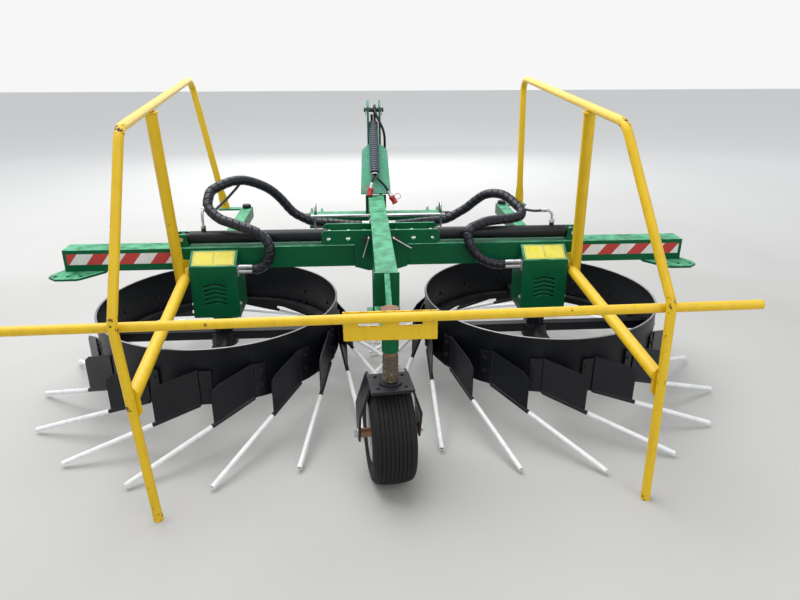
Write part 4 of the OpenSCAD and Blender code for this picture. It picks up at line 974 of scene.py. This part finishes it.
def prism(outline, origin, along, across, up, wall):
    # an outline with a wall's thickness; up is against the cross product of along and across
    count = len(outline)
    low = [origin + along * u + across * v for u, v in outline]
    faces = [tuple(range(count)), tuple(reversed(range(count, 2 * count)))]
    faces += [(k + count, (k + 1) % count + count, (k + 1) % count, k) for k in range(count)]
    return low + [point + up * wall for point in low], faces


def buildGuard(side, name):
    sizes = guardTube
    corners = [Vector(corner) for corner in guardCorners[side]]
    foot, knee = corners[:2]
    route = bentRoute(corners, sizes["bend"], sizes["bendSteps"])
    points, faces = evenTube(route, sizes["radius"], sizes["sides"], Vector((1, 0, 0)))
    cutLevel(points, range(sizes["sides"]), (route[1] - route[0]).normalized(), 0.0)
    lastRing = range(len(points) - sizes["sides"], len(points))
    cutLevel(points, lastRing, (route[-1] - route[-2]).normalized(), sizes["endHeight"])
    frontLeg = [point for point in points if point.y > sizes["flatAheadOf"] and point.z < sizes["flatFrom"]]
    flattenEnd(frontLeg, corners[3], corners[4])
    low = foot.lerp(knee, sizes["braceShare"])
    leg = (knee - foot).normalized()
    toBrace = Vector(sizes["braceTop"]) - low
    toBrace = (toBrace - leg * leg.dot(toBrace)).normalized()
    sunk = low + toBrace * (sizes["radius"] - sizes["gussetSunk"])
    gusset = prism(sizes["gusset"], sunk, leg, leg.cross(toBrace), toBrace, sizes["gussetWall"])
    tube = sided(joinParts([(points, faces), gusset]), side)
    piece = makePiece("guardTube" + name.title(), *tube, [yellowPaint])
    spots = corners[1:4] + [low, foot, corners[4]]
    wear = piece.data.attributes.new("edgeWear", "FLOAT", "POINT")
    for index, vertex in enumerate(piece.data.vertices):
        place = Vector((side * vertex.co.x, vertex.co.y, vertex.co.z))
        nearest = min((place - spot).length for spot in spots)
        wear.data[index].value = sizes["wearMost"] * math.exp(-(nearest / sizes["wearReach"]) ** 2)
    keepPiece(piece, name + "_arm", "yellow_paint", "guard_loop_" + name)


for side, name in bothSides:
    buildGuard(side, name)
print("guards built")

# warning stripes, blank labels, cover bolts, and plugs on the carrier tubes
warningStripe = {"from": 0.945, "to": 1.418, "low": 0.637, "high": 0.687, "face": -0.0191, "wall": 0.0006,
    "red": 0.068, "white": 0.074, "slant": 0.04, "start": -0.02}
blankLabel = {"near": (-0.0935, 0.6452), "far": (-0.0255, 0.6907), "left": 0.665, "right": 0.851, "wall": 0.0006,
    "lift": 0.0001, "margin": 0.004, "line": 0.0016, "between": 0.004}


def clipAcross(polygon, limit, keepAbove):
    # keeps the part of a flat polygon on one side of an upright line
    kept = []
    for first, second in zip(polygon, polygon[1:] + polygon[:1]):
        inside = (first[0] >= limit) == keepAbove or abs(first[0] - limit) < 1e-9
        follows = (second[0] >= limit) == keepAbove or abs(second[0] - limit) < 1e-9
        if inside:
            kept.append(first)
        if inside != follows:
            share = (limit - first[0]) / (second[0] - first[0])
            kept.append((limit, first[1] + share * (second[1] - first[1])))
    return kept


def plateFrom(polygons, toPlace, wall, name, finishes, picks):
    # a thin plate whose front is divided into polygons with finishes of their own
    keys, points, faces, edges = {}, [], [], {}
    for polygon in polygons:
        loop = []
        for corner in polygon:
            key = (round(corner[0], 6), round(corner[1], 6))
            if key not in keys:
                keys[key] = len(points)
                points.append(key)
            if not loop or loop[-1] != keys[key]:
                loop.append(keys[key])
        faces.append(loop)
        for first, second in zip(loop, loop[1:] + loop[:1]):
            edges[(first, second)] = edges.get((first, second), 0) + 1
    count = len(points)
    solid = [toPlace(*point, wall) for point in points] + [toPlace(*point, 0.0) for point in points]
    allFaces = list(faces) + [[index + count for index in reversed(loop)] for loop in faces]
    allPicks = list(picks) * 2
    for loop, pick in zip(faces, picks):
        for first, second in zip(loop, loop[1:] + loop[:1]):
            if (second, first) not in edges:
                allFaces.append([second, first, first + count, second + count])
                allPicks.append(pick)
    piece = makePiece(name, solid, allFaces, finishes, 20)
    piece.data.polygons.foreach_set("material_index", allPicks)
    return piece


def addStripes(side, name):
    sizes = warningStripe
    start, end = (sizes["from"], sizes["to"]) if side > 0 else (-sizes["to"], -sizes["from"])
    low, high, slant = sizes["low"], sizes["high"], sizes["slant"]
    polygons, picks = [], []
    place, red = start + sizes["start"] - slant, True
    while place < end:
        width = sizes["red"] if red else sizes["white"]
        polygon = [(place, low), (place + width, low), (place + width + slant, high), (place + slant, high)]
        polygon = clipAcross(clipAcross(polygon, start, True), end, False)
        if len(polygon) > 2:
            polygons.append(polygon)
            picks.append(0 if red else 1)
        place += width
        red = not red
    piece = plateFrom(polygons, lambda x, z, lift: (x, sizes["face"] - lift, z), sizes["wall"],
        "warningStripe" + name.title(), [stripeRed, stripeWhite], picks)
    keepPiece(piece, name + "_arm", "white_sleeve")


def addLabel(side, name):
    # two blank fields, each inside a thin dark line
    sizes = blankLabel
    near, far = Vector((0, *sizes["near"])), Vector((0, *sizes["far"]))
    up = (far - near).normalized()
    out = Vector((1, 0, 0)).cross(up)
    wide, tall = sizes["right"] - sizes["left"], (far - near).length
    margin, line, middle = sizes["margin"], sizes["line"], wide / 2
    gap = sizes["between"] / 2
    columns = [0, margin, margin + line, middle - gap - line, middle - gap, middle + gap, middle + gap + line,
        wide - margin - line, wide - margin, wide]
    rows = [0, margin, margin + line, tall - margin - line, tall - margin, tall]
    polygons, picks = [], []
    for column, (x0, x1) in enumerate(zip(columns, columns[1:])):
        for row, (y0, y1) in enumerate(zip(rows, rows[1:])):
            polygons.append([(x0, y0), (x1, y0), (x1, y1), (x0, y1)])
            edgeColumn = column in (1, 3, 5, 7) and 1 <= row <= 3
            edgeRow = row in (1, 3) and column in (2, 6)
            picks.append(1 if edgeColumn or edgeRow else 0)
    start = sizes["left"] if side > 0 else -sizes["right"]

    def toPlace(x, y, lift):
        return Vector((start + x, 0, 0)) + near + up * y + out * (lift + sizes["lift"])

    piece = plateFrom(polygons, toPlace, sizes["wall"], "blankLabel" + name.title(), [labelYellow, labelDark], picks)
    keepPiece(piece, name + "_arm", "yellow_paint")


for side, name in bothSides:
    addStripes(side, name)
    addLabel(side, name)

coverBolts = {"sides": ((0.6529, -1), (0.8631, 1)), "back": -0.078, "heights": (0.455, 0.628), "seed": 5}
carrierPlug = {"place": (0.730, 0.763, 0.7001),
    "profile": [(0.024, 0.0), (0.024, 0.014), (0.0225, 0.0175), (0.018, 0.0205), (0.008, 0.022)]}
bundleFerrules = {"x": 0.044, "places": ((0.258, 0.7285), (0.279, 0.7155)),
    "profile": [(0.0075, 0.0), (0.0105, 0.001), (0.0105, 0.012), (0.0085, 0.013), (0.0085, 0.036), (0.0075, 0.0395)]}
for side, name in bothSides:
    places, ways = [], []
    for x, way in coverBolts["sides"]:
        for height in coverBolts["heights"]:
            places.append(Vector((side * x, coverBolts["back"], height)))
            ways.append((side * way, 0, 0))
    values = {"Seed": coverBolts["seed"] + side, "Finish": zincSteel}
    bolts = runTree("coverBolts" + name.title(), boltHeads, values, places, facing=ways)
    keepPiece(bolts, name + "_arm", "bright_steel")
    x, y, z = carrierPlug["place"]
    plug = lathe(carrierPlug["profile"], (side * x, y, z), upWay, 32)
    addPart("carrierPlug" + name.title(), plug, blackPaint, name + "_arm", "black_paint")
    ferrules = [lathe(bundleFerrules["profile"], (side * bundleFerrules["x"], y, z), (side, 0, 0), 20)
        for y, z in bundleFerrules["places"]]
    addPart("bundleFerrules" + name.title(), joinParts(ferrules), zincSteel, "root", "bright_steel")
print("arms trimmed")

# middle: lock clips of the pins, each a rod with its collar, and a knob ahead of it
lockClips = {"radius": 0.0032, "knobAhead": 0.012,
    "ends": (((-0.055, -0.052, 0.748), (-0.084, -0.052, 0.657)), ((0.055, -0.052, 0.746), (0.138, -0.052, 0.696))),
    "collar": [(0.005, -0.004), (0.007, -0.002), (0.007, 0.006), (0.005, 0.008)],
    "knob": [(0.003, -0.0165), (0.0062, -0.0155), (0.0062, 0.0), (0.005, 0.002)]}
clips = []
for ends in lockClips["ends"]:
    start, end = (Vector(point) for point in ends)
    rod = [(lockClips["radius"], 0.0), (lockClips["radius"], (end - start).length)]
    clips += [lathe(rod, start, end - start, 12), lathe(lockClips["collar"], start, end - start, 16),
        lathe(lockClips["knob"], start + Vector((0, lockClips["knobAhead"], 0)), (0, 1, 0), 16)]
addPart("lockClips", joinParts(clips), zincSteel, "root", "bright_steel")


def ringTube(centre, axis, radius, tube, sides=40, around=10):
    angles = [2 * math.pi * k / around for k in range(around)]
    profile = [(radius + tube * math.cos(angle), tube * math.sin(angle)) for angle in angles]
    return lathe(profile, centre, axis, sides, closed=True)


# ribs and white tie of the grey sleeve, straps of the dust caps, rings of the linch pins
sleeveRibs = {"x": -0.003, "count": 23, "pitch": 0.0132, "radius": 0.024, "tube": 0.0024, "from": 0.1290}
ribPlace = sleevePoint(sleeveRibs["x"], sleeveRibs["from"])
rib = ringTube(ribPlace, sleeveWay, sleeveRibs["radius"], sleeveRibs["tube"], 28, 8)
values = {"Count": sleeveRibs["count"], "Step": tuple(sleeveWay * sleeveRibs["pitch"]), "Finish": ribGrey}
keepPiece(runTree("sleeveRibs", rowRepeat, values, *rib), "root", "grey_sleeve")
hoseTie = {"along": 0.1130, "profile": [(0.0156, -0.003), (0.0178, -0.003), (0.0178, 0.003), (0.0156, 0.003)]}
tie = lathe(hoseTie["profile"], sleevePoint(sleeveRibs["x"], hoseTie["along"]), sleeveWay, 32, closed=True)
addPart("hoseTie", tie, whiteTie, "root", "white_sleeve")
capStraps = {"radius": 0.0175, "tube": 0.0017, "beside": 0.0295, "rise": 0.55, "along": 0.05, "axis": (0, -0.8, 0.6)}
straps = []
for side, name in bothSides:
    last, ahead = hoseEnd(side)
    beside = Vector((side, 0, capStraps["rise"])).normalized()
    centre = last + ahead * capStraps["along"] + beside * capStraps["beside"]
    straps.append(ringTube(centre, capStraps["axis"], capStraps["radius"], capStraps["tube"], 32, 8))
addPart("capStraps", joinParts(straps), redPlastic, "root", "bright_steel")
linchRings = (((0.0445, 0.938, 1.199), (1, 0, 0.15), 0.019, 0.0021),
    ((-0.0445, 0.938, 1.197), (1, 0, -0.1), 0.017, 0.0019))
addPart("linchRings", joinParts([ringTube(*ring) for ring in linchRings]), zincSteel, "root", "bright_steel")
print("middle trimmed")

# wheel: tyre and axle nuts
tyreSizes = {"crown": 0.200, "drop": 0.007, "shoulder": 0.0625, "grooves": 8, "pitch": 0.015, "grooveHalf": 0.00125,
    "grooveDeep": 0.005, "sides": 64, "wall": ((0.1045, 0.0608), (0.1085, 0.0665), (0.126, 0.0772), (0.146, 0.0822),
        (0.163, 0.082), (0.178, 0.0788), (0.188, 0.0732), (0.1925, 0.0668))}
axleNuts = {"beside": 0.1187, "washer": [(0.019, 0.0), (0.019, 0.0022), (0.018, 0.0026)],
    "nut": [(0.0165, 0.0024), (0.0165, 0.0125), (0.0145, 0.014)]}


def tyreProfile():
    def crown(x):
        return tyreSizes["crown"] - tyreSizes["drop"] * (abs(x) / tyreSizes["shoulder"]) ** 3
    profile = [(radius, -x) for radius, x in tyreSizes["wall"]]
    for index in range(tyreSizes["grooves"]):
        x = (index - (tyreSizes["grooves"] - 1) / 2) * tyreSizes["pitch"]
        half = tyreSizes["grooveHalf"]
        profile += [(crown(x - half), x - half), (crown(x) - tyreSizes["grooveDeep"], x), (crown(x + half), x + half)]
    return profile + [(radius, x) for radius, x in reversed(tyreSizes["wall"])]


tyreShape = lathe(tyreProfile(), wheelCentre, wheelWay, tyreSizes["sides"], closed=True)
keepPiece(makePiece("tyre", *tyreShape, [tyreRubber], 28), "wheel", "tyre", "wheel_tyre")
nuts = []
for way in (-1, 1):
    face = wheelCentre + wheelWay * way * axleNuts["beside"]
    nuts += [lathe(axleNuts["washer"], face, wheelWay * way, 28), lathe(axleNuts["nut"], face, wheelWay * way, 6)]
addPart("axleNuts", joinParts(nuts), zincSteel, "caster", "bright_steel")

# greasy rings on the swivel shaft, with painted highlights in pale spots, and its nut
shaftRings = {"from": 0.4445, "to": 0.5605, "pitch": 0.0129,
    "profile": [(0.02515, 0.0), (0.0264, 0.0), (0.0286, 0.0018), (0.0286, 0.0095), (0.0264, 0.0115), (0.0264, 0.0128),
        (0.02515, 0.0128)]}
shaftNut = {"from": 0.7130,
    "profile": [(0.02515, 0.0), (0.036, 0.0), (0.036, 0.0095), (0.033, 0.0112), (0.02515, 0.0112)]}
ring = lathe(shaftRings["profile"], (0, casterSizes["axisY"], shaftRings["from"]), upWay, 48, closed=True)
values = {"Count": int((shaftRings["to"] - shaftRings["from"]) / shaftRings["pitch"]),
    "Step": (0.0, 0.0, shaftRings["pitch"]), "Finish": greasyBrown}
keepPiece(runTree("shaftRings", rowRepeat, values, *ring), "caster", "dark_pin")
nut = lathe(shaftNut["profile"], (0, casterSizes["axisY"], shaftNut["from"]), upWay, 6, closed=True)
addPart("shaftNut", nut, rustySteel, "caster", "dark_pin", 20)
print("wheel dressed")

# floor and light; a lamp is its place, what it faces, its size, its strength and its colour
roomSizes = {"floor": 40.0, "worldStrength": 0.66, "worldColour": (0.95, 0.975, 1.0, 1),
    "backColour": (0.93, 0.93, 0.93, 1), "floorTones": ((0.44, 0.435, 0.42), (0.48, 0.475, 0.465)),
    "toneNoise": (0.9, 2.0), "toneRange": (0.3, 0.7), "farTone": (0.90, 0.90, 0.895), "paleFrom": 2.6, "paleTo": 8.0}
lamps = {"skyLamp": ((-1.5, 0.8, 5.2), (0, 0, 0.4), 5.0, 320.0, (1.0, 1.0, 1.0)),
    "backLamp": ((0, 5.5, 3.4), (0, 0, 0.6), 5.0, 130.0, (1.0, 1.0, 1.0)),
    "fillLamp": ((2.6, -4.2, 3.2), (0, 0, 0.5), 3.0, 60.0, (1.0, 0.98, 0.95))}


def buildFloor():
    # a soft grey under the rake, paler further off
    mesh = bpy.data.meshes.new("studioFloor")
    half = roomSizes["floor"] / 2
    mesh.from_pydata([(-half, -half, 0), (half, -half, 0), (half, half, 0), (-half, half, 0)], [], [(0, 1, 2, 3)])
    material, tree, shader = newFinish("floorPale", 0.85)
    place = tree.nodes.new("ShaderNodeTexCoord").outputs["Object"]
    tone = rangeNode(tree, noiseNode(tree, place, *roomSizes["toneNoise"]), *roomSizes["toneRange"])
    away = addNode(tree, "ShaderNodeVectorMath", {0: place}, operation="LENGTH").outputs["Value"]
    far = rangeNode(tree, away, roomSizes["paleFrom"], roomSizes["paleTo"])
    near = mixColours(tree, tone, *roomSizes["floorTones"])
    tree.links.new(mixColours(tree, far, near, roomSizes["farTone"]), shader["Base Color"])
    mesh.materials.append(material)
    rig.stage(addObject("studioFloor", mesh))


def addLamp(name, place, target, size, energy, colour):
    data = bpy.data.lights.new(name, "AREA")
    data.shape = "SQUARE"
    data.size = size
    data.energy = energy
    data.color = colour
    lamp = addObject(name, data)
    lamp.location = place
    lamp.rotation_euler = (Vector(target) - Vector(place)).to_track_quat("-Z", "Y").to_euler()


def buildWorld():
    # soft daylight on the rake, and plain pale grey behind it
    world = bpy.data.worlds.new("studioWorld")
    bpy.context.scene.world = world
    world.use_nodes = True
    tree = world.node_tree
    tree.nodes.clear()
    dim = addNode(tree, "ShaderNodeBackground",
        {"Color": roomSizes["worldColour"], "Strength": roomSizes["worldStrength"]})
    pale = addNode(tree, "ShaderNodeBackground", {"Color": roomSizes["backColour"]})
    path = tree.nodes.new("ShaderNodeLightPath")
    mix = addNode(tree, "ShaderNodeMixShader",
        {0: path.outputs["Is Camera Ray"], 1: dim.outputs[0], 2: pale.outputs[0]})
    addNode(tree, "ShaderNodeOutputWorld", {"Surface": mix.outputs[0]})


buildFloor()
buildWorld()
for name, facts in lamps.items():
    addLamp(name, *facts)
bpy.context.scene.view_settings.view_transform = "Standard"
print("room built")

sizes = {"cad": [list(corner) for corner in cadBox], "visual": [list(corner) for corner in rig.bounds()]}
with open("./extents.json", "w") as sizeFile:
    json.dump(sizes, sizeFile)
